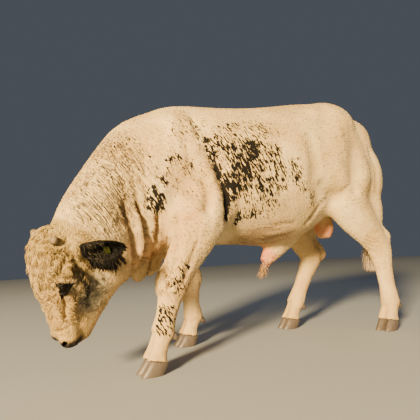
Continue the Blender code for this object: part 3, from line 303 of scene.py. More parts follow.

# Noise, as scale and detail, for the neck's ripples, bumped and with painted shade in their
# troughs, and the face's wisps, and the level above which a fleck is black, which sinks as the
# flecks grow.
RIPPLE_NOISE = ((95, 60, 7), 1.5)
WISP_NOISE = ((150, 150, 30), 2.0)
FLECK_LIMIT = 0.665
FLECK_GROWTH = 0.205

# The corners of the black skin round the left eye, with painted shade under the brow, in the head's
# frame: x and z.
EYE_PATCH_AND_BROW_SHADE = ((-0.101, -0.224), (-0.051, -0.288), (-0.030, -0.207))

# The dark streak down the cheek, in the head's frame.
STREAK = ((-0.110, 0.132, -0.135), (-0.137, 0.132, -0.177), (-0.158, 0.124, -0.241),
          (-0.178, 0.095, -0.314), (-0.176, 0.078, -0.363))

# Folds of the face, the same on both sides, in the head's frame: corners (x, y, z), reach, depth.
HEAD_FOLDS = (
    (((-0.050, 0.132, -0.062), (-0.076, 0.131, -0.074), (-0.100, 0.131, -0.106),
      (-0.138, 0.131, -0.160), (-0.180, 0.124, -0.207), (-0.219, 0.115, -0.248),
      (-0.245, 0.105, -0.300)), 0.017, 0.013),
    (((-0.105, 0.140, -0.070), (-0.135, 0.140, -0.125), (-0.180, 0.133, -0.180),
      (-0.230, 0.122, -0.235)), 0.024, -0.010),
    (((-0.035, 0.123, -0.150), (-0.028, 0.127, -0.195), (-0.030, 0.121, -0.262),
      (-0.036, 0.095, -0.315)), 0.011, 0.009),
    (((-0.030, 0.122, -0.196), (-0.065, 0.134, -0.200), (-0.105, 0.130, -0.215)), 0.016, -0.011),
    (((-0.008, 0.110, -0.225), (-0.010, 0.100, -0.275), (-0.020, 0.085, -0.320)), 0.022, -0.010),
    (((-0.050, 0.124, -0.268), (-0.058, 0.112, -0.300), (-0.064, 0.095, -0.330),
      (-0.068, 0.085, -0.385)), 0.014, 0.014),
    (((-0.082, 0.122, -0.275), (-0.092, 0.108, -0.318), (-0.095, 0.095, -0.365)), 0.024, -0.010),
    (((-0.034, 0.085, -0.315), (-0.045, 0.075, -0.360), (-0.050, 0.07, -0.400)), 0.016, -0.007),
    (((-0.088, 0.104, -0.336), (-0.121, 0.082, -0.382), (-0.140, 0.070, -0.40)), 0.010, 0.007),
    (((-0.115, 0.128, -0.225), (-0.135, 0.117, -0.275), (-0.140, 0.105, -0.325)), 0.014, 0.006),
    (((-0.010, 0.100, -0.262), (0.004, 0.070, -0.285), (0.006, 0.035, -0.310),
      (0.000, 0.0, -0.322)), 0.009, 0.008),
    (((-0.03, 0.03, -0.455), (-0.06, 0.080, -0.440), (-0.11, 0.088, -0.42)), 0.012, 0.005),
    (((-0.058, 0.135, -0.078), (-0.056, 0.136, -0.125), (-0.048, 0.130, -0.170)), 0.012, 0.010),
    (((-0.082, 0.134, -0.100), (-0.078, 0.138, -0.155), (-0.085, 0.138, -0.180)), 0.018, -0.010),
    (((-0.02, 0.112, -0.060), (-0.012, 0.115, -0.110), (-0.012, 0.112, -0.160)), 0.022, -0.008),
)


def fold_depth(points, normals):
    """How deep each point of the skin sinks into the folds."""
    body = in_bull(points)
    depth = np.zeros(len(points))
    for line, reach, deep, side in FOLDS:
        away = line_distance(body[:, [0, 2]], line)
        depth += deep * (1 - smooth(away, 0.0, reach)) * on_side(normals, side)
    return depth


def on_side(normals, side):
    """1 on a fold's side of the bull: 0 is both, 1 and -1 are one, -2 is -1 and the underside."""
    facing = np.abs(normals[:, 1]) if side == 0 else normals[:, 1] * np.sign(side)
    if side == -2:
        facing = np.maximum(facing, -0.8 * normals[:, 2])
    return smooth(facing, 0.15, 0.5)


def one_side(points):
    """Points with the right side laid on the left."""
    return points * (1, 0, 1) + np.abs(points) * (0, 1, 0)


def near_face(from_poll):
    """Which points are near the face, and their places with both sides laid on one."""
    near = np.flatnonzero(np.linalg.norm(from_poll - (-0.1, 0, -0.25), axis=1) < 0.40)
    return near, one_side(from_poll[near])


def crease_shade_share(points, normals):
    """Where painted shade darkens folds deep enough to look dark, narrow ones fully and wide ones a
    little, and under the belly.
    """
    body, from_poll = in_bull(points), in_head(points)
    share = spots(body * (1, 0, 1), BELLY_SHADE)
    for line, reach, deep, side in FOLDS:
        if deep > 0.005:
            away = line_distance(body[:, [0, 2]], line)
            weight = 1.0 if reach < 0.03 else 0.32
            share = np.maximum(share, weight * (1 - smooth(away, 0.0, reach * 0.7))
                               * on_side(normals, side))
    near, mirrored = near_face(from_poll)
    for line, reach, deep in HEAD_FOLDS:
        if deep > 0.004:
            close = 1 - smooth(line_distance(mirrored, line), 0.0, reach * 0.75)
            share[near] = np.maximum(share[near], close)
    return share


def head_fold_depth(from_poll):
    """How deep each point of the head sinks into its folds."""
    depth = np.zeros(len(from_poll))
    near, mirrored = near_face(from_poll)
    for line, reach, deep in HEAD_FOLDS:
        depth[near] += deep * (1 - smooth(line_distance(mirrored, line), 0.0, reach))
    return depth


def ridged(points, wide, seed, octaves=2):
    """Rounded lumps about wide across, parted by creases: 0 in a crease, near 1 on top."""
    rng = np.random.default_rng(seed)
    total, weight = np.zeros(len(points)), 0.0
    for octave in range(octaves):
        size = wide / 1.9 ** octave
        shift = rng.uniform(0, 50, 3)
        value = value_noise(points / size + shift, seed + octave)
        total += np.abs(value * 2 - 1) ** 0.6 / 1.6 ** octave
        weight += 1 / 1.6 ** octave
    return total / weight


def value_noise(points, seed):
    """Smooth noise between 0 and 1 on a unit lattice."""
    cell = np.floor(points).astype(np.int64)
    share = points - cell
    share = share * share * (3 - 2 * share)
    total = np.zeros(len(points))
    for corner in range(8):
        step = np.array(((corner >> 2) & 1, (corner >> 1) & 1, corner & 1))
        key = cell + step
        mixed = (key[:, 0] * 73856093) ^ (key[:, 1] * 19349663) ^ (key[:, 2] * 83492791)
        mixed = (mixed ^ (seed * 2654435761)) & 0xFFFFFFFF
        mixed = (mixed * 1103515245 + 12345) & 0xFFFFFFFF
        mixed = ((mixed ^ (mixed >> 15)) * 2246822519) & 0xFFFFFFFF
        mixed = mixed ^ (mixed >> 13)
        weight = np.prod(np.where(step == 1, share, 1 - share), axis=1)
        total += weight * (mixed / 0xFFFFFFFF)
    return total


def eye_frame(side):
    """Centre, radius and the axes out, along and up of an eye; side is 1 on the bull's left."""
    low, high = box_of("eye_left" if side > 0 else "eye_right")
    radius = float(np.max(high - low)) / 2
    out = turned_from_head((EYE_AIM[0], side * EYE_AIM[1], EYE_AIM[2]))
    along = turned_from_head(EYE_SLANT)
    along = unit(along - out * (along @ out))
    return (low + high) / 2, radius, out, along, np.cross(out, along) * side


def eye_patch_and_brow_shade(from_poll, reach):
    """1 inside the black skin round the eyes, with painted shade under the brow, falling to 0 over
    a reach outside it.
    """
    flat = from_poll[:, [0, 2]]
    corners = np.array(EYE_PATCH_AND_BROW_SHADE)
    middle = corners.mean(0)
    outside = np.full(len(flat), -1.0)
    for start, end in zip(corners, np.roll(corners, -1, axis=0)):
        edge = unit((end - start)[None])[0]
        normal = np.array((edge[1], -edge[0]))
        normal = normal * np.sign((start - middle) @ normal)
        outside = np.maximum(outside, (flat - start) @ normal)
    cheek = smooth(np.abs(from_poll[:, 1]), 0.085, 0.10)
    return cheek * (1 - smooth(outside, 0.0, reach))


def seat_eye(points, side):
    """Sink the skin behind the eyeball inside the almond and raise the lids round it."""
    centre, radius, out, along, up = eye_frame(side)
    offset = points - centre
    away = np.linalg.norm(offset, axis=1)
    ahead = offset @ out
    wide = np.abs(offset @ along) / (radius * 1.05)
    tall = (offset @ up) / radius
    tall = np.where(tall > 0, tall / UPPER_LID, -tall / LOWER_LID)
    almond = wide ** 1.7 + tall ** 1.5
    near = (ahead > radius * 0.1) & (away < radius * EYE_REACH)
    inside = near & (almond < 1.0)
    points[inside] = centre + offset[inside] * (radius * 0.90 / away[inside])[:, None]
    lid = near & (almond >= 1.0) & (almond < LID_END)
    past = smooth(almond, 1.0, LID_END)
    target = radius + LID_GAP + LID_RISE * past
    length = np.maximum(away + (target - away) * (1 - past), radius + LEAST_LID_GAP)
    points[lid] = centre + offset[lid] * (length[lid] / away[lid])[:, None]
    return points


def crest_wrinkles(points, normals):
    """Strength of the wavy wrinkles across the neck: 1 in a trough, 0 between."""
    flat = in_bull(points) * (1, 0, 1)
    region = spots(flat, FURROWED)
    region *= (1 - is_head(points)) * smooth(np.abs(normals[:, 1]), 0.05, 0.4)
    drift = value_noise(points * 7.0, 3) * 1.6 + value_noise(points * 19.0, 4) * 0.5
    lines = np.sin(flat @ FURROW_WAY * FURROW_PITCH + drift * 5)
    patchy = smooth(value_noise(points * (9.0, 9.0, 14.0), 5), 0.25, 0.60)
    return region * patchy * (0.5 + 0.5 * lines) ** 2


def pushed(points, normals):
    """The skin with its folds, its clumpy crown and the lids."""
    from_poll = in_head(points)
    depth = fold_depth(points, normals) + FURROW_DEPTH * crest_wrinkles(points, normals)
    depth += head_fold_depth(from_poll)
    crown = curl_share(from_poll)
    drift = np.stack([value_noise(from_poll * 22.0, 30 + axis) for axis in range(3)], axis=1)
    wandering = from_poll + 0.012 * (drift - 0.5)
    clumps = ridged(wandering * (1.1, 1.1, 0.75), CLUMP_WIDTH, 21)
    depth += crown * (CLUMP_SINK - CLUMP_HEIGHT * clumps)
    depth += crown * CROWN_SWELL * (0.5 - value_noise(from_poll * (13.0, 13.0, 11.0), 23))
    lumps = ridged(from_poll * (1.0, 1.0, 1.6), FACE_LUMP_WIDTH, 22)
    depth += is_head(points) * (1 - crown) * FACE_LUMP_DEPTH * (0.5 - lumps)
    depth += (1 - is_head(points)) * BODY_LUMP_DEPTH * (value_noise(points * 16.0, 6) - 0.5)
    points = points - normals * depth[:, None]
    for side in (1, -1):
        points = seat_eye(points, side)
    return points


def curl_share(from_poll):
    """Where the head's hair is curly: the poll, the forehead and the upper face."""
    height = from_poll[:, 2]
    groove = -0.030 + 0.62 * np.minimum(height, 0)
    front = smooth(from_poll[:, 0] - groove, -0.035, 0.005)
    low = 0.15 * smooth(height, -0.45, -0.36) + 0.85 * smooth(height, -0.34, -0.26)
    return front * low * (1 - smooth(height, 0.02, 0.06))


def is_head(points):
    """1 on the head and 0 on the rest."""
    body = in_bull(points)
    from_poll = in_head(points)
    inside = smooth(-from_poll[:, 2] - 0.9 * (-from_poll[:, 0] - 0.20), 0.0, 0.06)
    return np.where((body[:, 0] < -0.30) & (body[:, 2] < 0.80), inside, 0.0)


def lies(points, normals):
    """The way the coat lies at each point, along the skin."""
    body = in_bull(points)
    from_poll = in_head(points)
    trunk = np.tile((1.0, 0.0, -0.45), (len(points), 1))
    leg = 1 - smooth(body[:, 2], 0.45, 0.75)
    trunk += leg[:, None] * np.array((-0.9, 0.0, -1.0))
    neck = 1 - smooth(body[:, 0], -0.35, 0.0)
    trunk += neck[:, None] * np.array((-0.35, 0.0, -0.65))
    down_face = from_head(from_poll + np.array((0, 0, -1.0))) - from_head(from_poll)
    back_face = from_head(from_poll + np.array((-1.0, 0, 0))) - from_head(from_poll)
    behind = smooth(-from_poll[:, 0], 0.10, 0.24)[:, None]
    face = down_face * (1 - 0.45 * behind) + back_face * (0.2 + 0.9 * behind)
    head = is_head(points)[:, None]
    way = unit(trunk) * (1 - head) + unit(face) * head
    way = way - normals * (way * normals).sum(1)[:, None]
    return unit(way)


def fleck_strength(body, side):
    """How thick the flecks lie at each point, from the patches on both sides."""
    fleck = np.zeros(len(body))
    for x, z, reach_x, reach_z, strength, slant in PATCHES:
        across = body[:, 0] - x - slant * (body[:, 2] - z)
        away = np.hypot(across / reach_x, (body[:, 2] - z) / reach_z)
        fleck = np.maximum(fleck, strength * (1 - smooth(away, 0.45, 1.08)) * side)
    outer = smooth(np.abs(body[:, 1]), 0.15, 0.21)
    return np.clip(fleck * np.where(body[:, 2] < 0.75, outer, 1.0), 0, 1.35)


def zones(points, normals):
    """The marking strengths and painted shade at each point, by the names that the materials read.
    """
    body, from_poll = in_bull(points), in_head(points)
    flat, height = body * (1, 0, 1), body[:, 2]
    side = smooth(np.abs(normals[:, 1]), 0.15, 0.5)
    head = is_head(points)
    mirrored = one_side(from_poll)
    streak = 1 - smooth(line_distance(mirrored, STREAK), 0.003, 0.021)
    nose = smooth(-from_poll[:, 2], 0.487, 0.512) * smooth(from_poll[:, 0], -0.165, -0.135)
    dark = 0.95 * np.maximum(streak, spots(mirrored, [STREAK_CORE]))
    dark += spots(mirrored, [EAR_SHADE]) + nose
    warm = 0.35 * (1 - smooth(height, 0.28, 0.55)) + 0.25 * (1 - smooth(height, 0.5, 0.8))
    warm += spots(flat, [SHOULDER_STAIN]) * side + sum(spots(flat, [stain]) for stain in STAINS)
    throat = spots(flat, [BARE_THROAT]) * (1 - smooth(height, 0.60, 0.72))
    # Where the neck's ripples are bumped and painted with shade.
    wrinkle = spots(flat, RIPPLED) * (1 - head)
    return {
        "fleck": fleck_strength(body, side) * (1 - head),
        # Dark hair of the cheek's streak, the black nose and the black skin round the eyes, with
        # painted shade behind the ear and under the brow.
        "dark": np.clip(head * dark + 1.4 * eye_patch_and_brow_shade(from_poll, 0.006), 0, 1.4),
        "warm": np.clip(warm, 0, 1),
        "pink": np.clip(np.maximum(spots(body, BARE), throat), 0, 1),
        # Grizzled hair, with painted shade on the shaded cheek and jaw.
        "grizzled_and_shade": head * spots(mirrored, GRIZZLED_AND_SHADED),
        "tan": head * (1 - 0.8 * smooth(-from_poll[:, 0], 0.15, 0.25)) + 0.12 * wrinkle,
        "wrinkle": wrinkle,
        "curl": head * curl_share(from_poll),
        # Painted shade in the creases of folds and under the belly.
        "crease_shade": crease_shade_share(points, normals),
        # Painted shade in the neck's furrows.
        "furrow_shade": crest_wrinkles(points, normals),
    }


def arrays_of(mesh):
    """Vertex places and normals of a mesh as arrays."""
    points = np.empty(len(mesh.vertices) * 3)
    mesh.vertices.foreach_get("co", points)
    normals = np.empty(len(mesh.vertices) * 3)
    mesh.vertex_normals.foreach_get("vector", normals)
    return points.reshape(-1, 3), normals.reshape(-1, 3)


def put_points(mesh, points):
    """Set the vertex places of a mesh."""
    mesh.vertices.foreach_set("co", points.ravel())
    mesh.update()


def put_zones(mesh, values):
    """Keep marking strengths on a mesh as attributes that its material reads."""
    for name, numbers in values.items():
        layer = mesh.attributes.new(name, "FLOAT", "POINT")
        layer.data.foreach_set("value", np.ascontiguousarray(numbers, dtype=np.float32))


def linked(name, mesh):
    """A new object in the scene."""
    obj = bpy.data.objects.new(name, mesh)
    bpy.context.scene.collection.objects.link(obj)
    return obj


def applied(obj):
    """Replace an object's mesh by what its modifiers make of it."""
    graph = bpy.context.evaluated_depsgraph_get()
    mesh = bpy.data.meshes.new_from_object(obj.evaluated_get(graph))
    obj.modifiers.clear()
    old, obj.data = obj.data, mesh
    mesh.name = obj.name
    bpy.data.meshes.remove(old)


def finished(obj, finish, *nodes, slot="hide_cream", rounded=True):
    """Give a piece its material, let it ride on the bull and stand for its solids. The slot is not
    used.
    """
    obj.data.materials.clear()
    obj.data.materials.append(finish)
    if rounded:
        obj.data.polygons.foreach_set("use_smooth", [True] * len(obj.data.polygons))
    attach(obj, "root")
    if nodes:
        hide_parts(*nodes)
    return obj


def solid_copy(names):
    """One mesh with copies of several solids."""
    bm = bmesh.new()
    for name in names:
        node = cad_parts[name]
        part = node.data.copy()
        part.transform(node.matrix_world)
        bm.from_mesh(part)
        bpy.data.meshes.remove(part)
    mesh = bpy.data.meshes.new("copy")
    bm.to_mesh(mesh)
    bm.free()
    return mesh


def soften(obj, rounds, shares=None):
    """Smooth an object's skin, by a share for each vertex if they are given."""
    ease = obj.modifiers.new("soften", "SMOOTH")
    ease.factor = 0.5
    ease.iterations = rounds
    if shares is not None:
        group = obj.vertex_groups.new(name="share")
        steps = np.round(shares * 10).astype(int)
        for step in range(1, 11):
            group.add(np.flatnonzero(steps == step).tolist(), step / 10, "REPLACE")
        ease.vertex_group = "share"
    applied(obj)
    obj.vertex_groups.clear()


def build_skin(settings):
    """One closed skin over all the flesh, smoothed, thinned and folded."""
    skin = linked("hide", solid_copy(FLESH))
    fuse = skin.modifiers.new("fuse", "REMESH")
    fuse.mode = "VOXEL"
    fuse.voxel_size = settings.skin_grain
    applied(skin)
    points, _ = arrays_of(skin.data)
    body, from_poll = in_bull(points), in_head(points)
    head = is_head(points)
    trunk = smooth(body[:, 2], 0.60, 0.80) * (1 - head) * smooth(1.57 - body[:, 0], 0, 0.05)
    tuft = blob(body, (0.635, 0, 0.43), (0.08, 0.08, 0.07))
    clumps = head * smooth(from_poll[:, 0] - 0.75 * from_poll[:, 2], 0.02, 0.06)
    clumps *= smooth(from_poll[:, 2], -0.36, -0.30)
    for side in (1, -1):
        centre, radius, *_ = eye_frame(side)
        clumps *= smooth(np.linalg.norm(points - centre, axis=1), radius * 1.6, radius * EYE_REACH)
    soften(skin, 90, np.maximum(trunk, np.maximum(tuft, 0.8 * clumps)))
    soften(skin, 10, 1 - 0.35 * head)
    points, normals = arrays_of(skin.data)
    put_points(skin.data, points - normals * settings.coat_depth)
    thin = skin.modifiers.new("thin", "DECIMATE")
    thin.ratio = settings.skin_triangles / (2 * len(skin.data.polygons))
    thin.use_collapse_triangulate = True
    applied(skin)
    refine(skin.data, lambda places: is_head(places) > 0.5)
    points, _ = arrays_of(skin.data)
    soften(skin, 4, is_head(points))
    for side in (1, -1):
        centre, radius, *_ = eye_frame(side)
        refine(skin.data,
               lambda places: np.linalg.norm(places - centre, axis=1) < radius * EYE_REACH)
    points, normals = arrays_of(skin.data)
    put_points(skin.data, pushed(points, normals))
    points, normals = arrays_of(skin.data)
    put_zones(skin.data, zones(points, normals))
    return skin


def refine(mesh, chosen):
    """Divide the faces whose corners a test picks into four."""
    places, _ = arrays_of(mesh)
    inside = chosen(places)
    bm = bmesh.new()
    bm.from_mesh(mesh)
    bm.verts.ensure_lookup_table()
    edges = [edge for edge in bm.edges
             if inside[edge.verts[0].index] and inside[edge.verts[1].index]]
    bmesh.ops.subdivide_edges(bm, edges=edges, cuts=1, use_grid_fill=True)
    bmesh.ops.triangulate(bm, faces=[face for face in bm.faces if len(face.verts) > 3])
    bm.to_mesh(mesh)
    bm.free()


class Ground:
    """The skin that the coat is rooted in: its faces, their areas and an unwrap of it."""

    def __init__(self, skin):
        mesh = skin.data
        self.points, self.normals = arrays_of(mesh)
        count = len(mesh.polygons)
        corners = np.empty(count * 3, dtype=np.int64)
        mesh.polygons.foreach_get("vertices", corners)
        self.faces = corners.reshape(-1, 3)
        a, b, c = (self.points[self.faces[:, i]] for i in range(3))
        cross = np.cross(b - a, c - a)
        self.areas = np.linalg.norm(cross, axis=1) / 2
        self.middles = (a + b + c) / 3
        self.face_normals = unit(cross)
        self.unwrap(mesh)

    def unwrap(self, mesh):
        """Unwrap a coarse copy of the skin and keep it for looking up places."""
        coarse = linked("unwrap", mesh.copy())
        thin = coarse.modifiers.new("thin", "DECIMATE")
        thin.ratio = min(1.0, 9000 / len(self.faces))
        thin.use_collapse_triangulate = True
        applied(coarse)
        bpy.context.view_layer.objects.active = coarse
        coarse.select_set(True)
        bpy.ops.object.mode_set(mode="EDIT")
        bpy.ops.mesh.select_all(action="SELECT")
        bpy.ops.uv.smart_project(angle_limit=math.radians(66), island_margin=0.004)
        bpy.ops.object.mode_set(mode="OBJECT")
        bm = bmesh.new()
        bm.from_mesh(coarse.data)
        self.tree = BVHTree.FromBMesh(bm)
        bm.free()
        layer = coarse.data.uv_layers.active.data
        spots = np.empty(len(layer) * 2)
        layer.foreach_get("uv", spots)
        spots = spots.reshape(-1, 2)
        loops = np.empty(len(coarse.data.polygons), dtype=np.int64)
        coarse.data.polygons.foreach_get("loop_start", loops)
        corners = np.empty(len(coarse.data.loops), dtype=np.int64)
        coarse.data.loops.foreach_get("vertex_index", corners)
        places, _ = arrays_of(coarse.data)
        self.spots = spots[loops[:, None] + np.arange(3)]
        self.spot_corners = places[corners[loops[:, None] + np.arange(3)]]
        bpy.data.objects.remove(coarse, do_unlink=True)

    def places_on_map(self, roots):
        """Where each root lies on the unwrap."""
        found = np.array([self.tree.find_nearest(root)[2] for root in roots.tolist()])
        a, b, c = (self.spot_corners[found, i] for i in range(3))
        v0, v1, v2 = b - a, c - a, roots - a
        d00, d01, d11 = (v0 * v0).sum(1), (v0 * v1).sum(1), (v1 * v1).sum(1)
        d20, d21 = (v2 * v0).sum(1), (v2 * v1).sum(1)
        spread = d00 * d11 - d01 * d01 + 1e-18
        v = np.clip((d11 * d20 - d01 * d21) / spread, 0, 1)
        w = np.clip((d00 * d21 - d01 * d20) / spread, 0, 1)
        u = np.clip(1 - v - w, 0, 1)
        total = (u + v + w)[:, None]
        mixed = (self.spots[found, 0] * u[:, None] + self.spots[found, 1] * v[:, None]
                 + self.spots[found, 2] * w[:, None])
        return mixed / total

    def scattered(self, weights, count, rng):
        """Roots spread over the skin by a weight for each face."""
        chance = self.areas * weights
        chance = chance / chance.sum()
        picked = rng.choice(len(self.faces), size=count, p=chance)
        r1, r2 = np.sqrt(rng.random(count)), rng.random(count)
        shares = np.stack((1 - r1, r1 * (1 - r2), r1 * r2), axis=1)[:, :, None]
        roots = (self.points[self.faces[picked]] * shares).sum(1)
        normals = unit((self.normals[self.faces[picked]] * shares).sum(1))
        return roots, normals


def turned(ways, axes, angles):
    """Directions turned about axes by angles."""
    c, s = np.cos(angles)[:, None], np.sin(angles)[:, None]
    return ways * c + np.cross(axes, ways) * s + axes * (axes * ways).sum(1)[:, None] * (1 - c)


def lock_piece(name, spines, widths, thins, normals, ground, shade, sides=3):
    """One object of closed tapered locks.

    spines is locks by steps by 3, widths and thins are locks by steps, normals is the flat
    way of each lock, by locks by 3. Each ends in a point, and its root is closed.
    """
    locks, steps, _ = spines.shape
    along = unit(np.gradient(spines, axis=1))
    flat = np.broadcast_to(normals[:, None, :], spines.shape)
    across = unit(np.cross(along, flat))
    lift = np.cross(across, along)
    angles = 2 * np.pi * np.arange(sides) / sides + np.pi / 2
    body = spines[:, :-1, None, :]
    ring = (body
            + across[:, :-1, None, :] * (np.cos(angles)[None, None, :, None]
                                         * widths[:, :-1, None, None] / 2)
            + lift[:, :-1, None, :] * (np.sin(angles)[None, None, :, None]
                                       * thins[:, :-1, None, None] / 2))
    rows = steps - 1
    each = rows * sides + 1
    points = np.concatenate((ring.reshape(locks, -1, 3), spines[:, -1:, :]), axis=1)
    faces = []
    for row in range(rows - 1):
        for k in range(sides):
            j = (k + 1) % sides
            low, high = row * sides, (row + 1) * sides
            faces.append((low + k, low + j, high + j))
            faces.append((low + k, high + j, high + k))
    last = (rows - 1) * sides
    for k in range(sides):
        faces.append((last + k, last + (k + 1) % sides, each - 1))
    for k in range(1, sides - 1):
        faces.append((0, k + 1, k))
    faces = np.array(faces)
    all_faces = (faces[None] + (np.arange(locks) * each)[:, None, None]).reshape(-1, 3)
    mesh = bpy.data.meshes.new(name)
    mesh.vertices.add(locks * each)
    mesh.vertices.foreach_set("co", points.ravel())
    mesh.loops.add(all_faces.size)
    mesh.loops.foreach_set("vertex_index", all_faces.ravel().astype(np.int32))
    mesh.polygons.add(len(all_faces))
    mesh.polygons.foreach_set("loop_start", np.arange(0, all_faces.size, 3, dtype=np.int32))
    mesh.update(calc_edges=True)
    roots = spines[:, 0, :]
    root_values = zones(roots, normals)
    root_values["shade"] = shade
    put_zones(mesh, {key: np.repeat(numbers, each) for key, numbers in root_values.items()})
    spot = ground.places_on_map(roots)
    share = np.linspace(-1, 1, each)
    local = np.stack((share, np.cos(np.arange(each) * 2.1)), axis=1) * 0.0015
    uv = (spot[:, None, :] + local[None]).reshape(-1, 2)
    layer = mesh.uv_layers.new(name="OFBake")
    layer.data.foreach_set("uv", np.clip(uv, 0.0, 1.0)[all_faces.ravel()].ravel())
    return linked(name, mesh)


def varied(size, count, rng):
    """Random sizes: a middle value times shares between two limits."""
    middle, low, high = size
    return middle * rng.uniform(low, high, count)


def short_tufts(name, ground, weights, count, length, width, lift, rng, curl=0.0, jitter=0.25):
    """Short tufts that lie along the skin."""
    roots, normals = ground.scattered(weights, count, rng)
    way = turned(lies(roots, normals), normals, rng.normal(0, jitter, count))
    size = varied((length, 0.7, 1.3), count, rng)
    size *= 0.55 + 0.45 * smooth(in_bull(roots)[:, 2], 0.2, 0.6)
    along = np.linspace(0, 1, TUFT_STEPS)
    bend = rng.normal(0, curl, count)
    side = np.cross(normals, way)
    rise = lift * size * rng.uniform(0.7, 1.4, count)
    spines = (roots[:, None, :] - normals[:, None, :] * ROOT_SINK
              + way[:, None, :] * (size[:, None] * along)[:, :, None]
              + side[:, None, :] * (size * bend)[:, None, None] * (along ** 2)[None, :, None]
              + normals[:, None, :] * (rise[:, None] * np.sin(along * 2.2))[:, :, None])
    wide = varied((width, 0.7, 1.3), count, rng)[:, None] * (1 - 0.5 * along)[None, :]
    return lock_piece(name, spines, wide, wide * LOCK_THIN, normals, ground, rng.random(count))


def curls(name, ground, weights, count, rng):
    """Curled locks for the poll and the forehead: each is a small hook of a few strands."""
    def shared_out(numbers):
        """One number for each strand from one for each curl."""
        return np.repeat(numbers, STRANDS, axis=0)

    roots, normals = (shared_out(places) for places in ground.scattered(weights, count, rng))
    total = count * STRANDS
    spread = rng.normal(0, STRAND_SPREAD, (total, 3))
    spread -= normals * (spread * normals).sum(1)[:, None]
    roots = roots + spread
    swirl = 3.6 * (value_noise(in_head(roots) * 24.0, 51) - 0.5)
    swirl = swirl + shared_out(rng.normal(0, 0.35, count)) + rng.normal(0, 0.12, total)
    base = turned(lies(roots, normals), normals, swirl)
    size = shared_out(rng.uniform(0.65, 1.35, count)) * rng.uniform(0.85, 1.15, total)
    hand = shared_out(rng.choice((-1.0, 1.0), count))
    t = np.linspace(0, 1, CURL_STEPS)
    radius = CURL_RADIUS * size
    turns = shared_out(rng.uniform(0.55, 1.05, count))
    angle = 2 * np.pi * turns[:, None] * t[None, :]
    side = np.cross(normals, base) * hand[:, None]
    shrink = 1 - 0.45 * t[None, :]
    wavy = shared_out((rng.random(count) < WAVY_SHARE) * 1.0)[:, None]
    forward = radius[:, None] * shrink * np.sin(angle) + 0.012 * size[:, None] * t[None, :]
    forward = forward * (1 - wavy) + wavy * WAVY_LENGTH * size[:, None] * t[None, :]
    sideways = radius[:, None] * (1 - shrink * np.cos(angle)) * 0.9
    sideways = sideways * (1 - wavy) + wavy * WAVY_SWAY * np.sin(angle * 2.1)
    rise = np.sin(np.pi * np.minimum(t * 1.15, 1))
    rise = size[:, None] * (CURL_RISE * rise)[None, :] - 0.001
    spines = (roots[:, None, :] + base[:, None, :] * forward[:, :, None]
              + side[:, None, :] * sideways[:, :, None] + normals[:, None, :] * rise[:, :, None])
    wide = STRAND_WIDTH * size[:, None] * (1 - 0.65 * t[None, :] ** 2)
    shade = shared_out(rng.random(count))
    return lock_piece(name, spines, wide, wide * 0.7, normals, ground, shade)


def hanging_locks(name, ground, roots, normals, ways, length, width, rng, steps=7, sides=4,
                  droop=0.5, wave=0.10, fan=0.12, longest=np.inf):
    """Long tapered locks that leave their roots along ways and bend down."""
    count = len(roots)
    lengths = np.minimum(varied(length, count, rng), longest)
    widths = varied(width, count, rng)
    along = np.linspace(0, 1, steps)
    start = unit(ways + rng.normal(0, fan, (count, 3)))
    share = (droop * along)[None, :, None]
    heading = unit(start[:, None, :] * (1 - share) + DOWN * share)
    stride = (lengths / (steps - 1))[:, None, None]
    spines = roots[:, None, :] + np.concatenate(
        (np.zeros((count, 1, 3)), np.cumsum(heading[:, :-1] * stride, axis=1)), axis=1)
    across = unit(np.cross(start, normals + 1e-6))
    phase = rng.uniform(0, 2 * np.pi, count)[:, None]
    sway = np.sin(phase + along[None, :] * rng.uniform(3, 7, count)[:, None]) - np.sin(phase)
    spines += across[:, None, :] * (sway * wave * lengths[:, None] * along[None, :])[:, :, None]
    taper = (0.75 + 0.5 * np.sin(np.pi * np.minimum(along * 1.6, 1))) * (1 - 0.75 * along ** 2)
    wide = widths[:, None] * taper[None, :]
    return lock_piece(name, spines, wide, wide * LOCK_THIN, normals, ground, rng.random(count),
                      sides=sides)


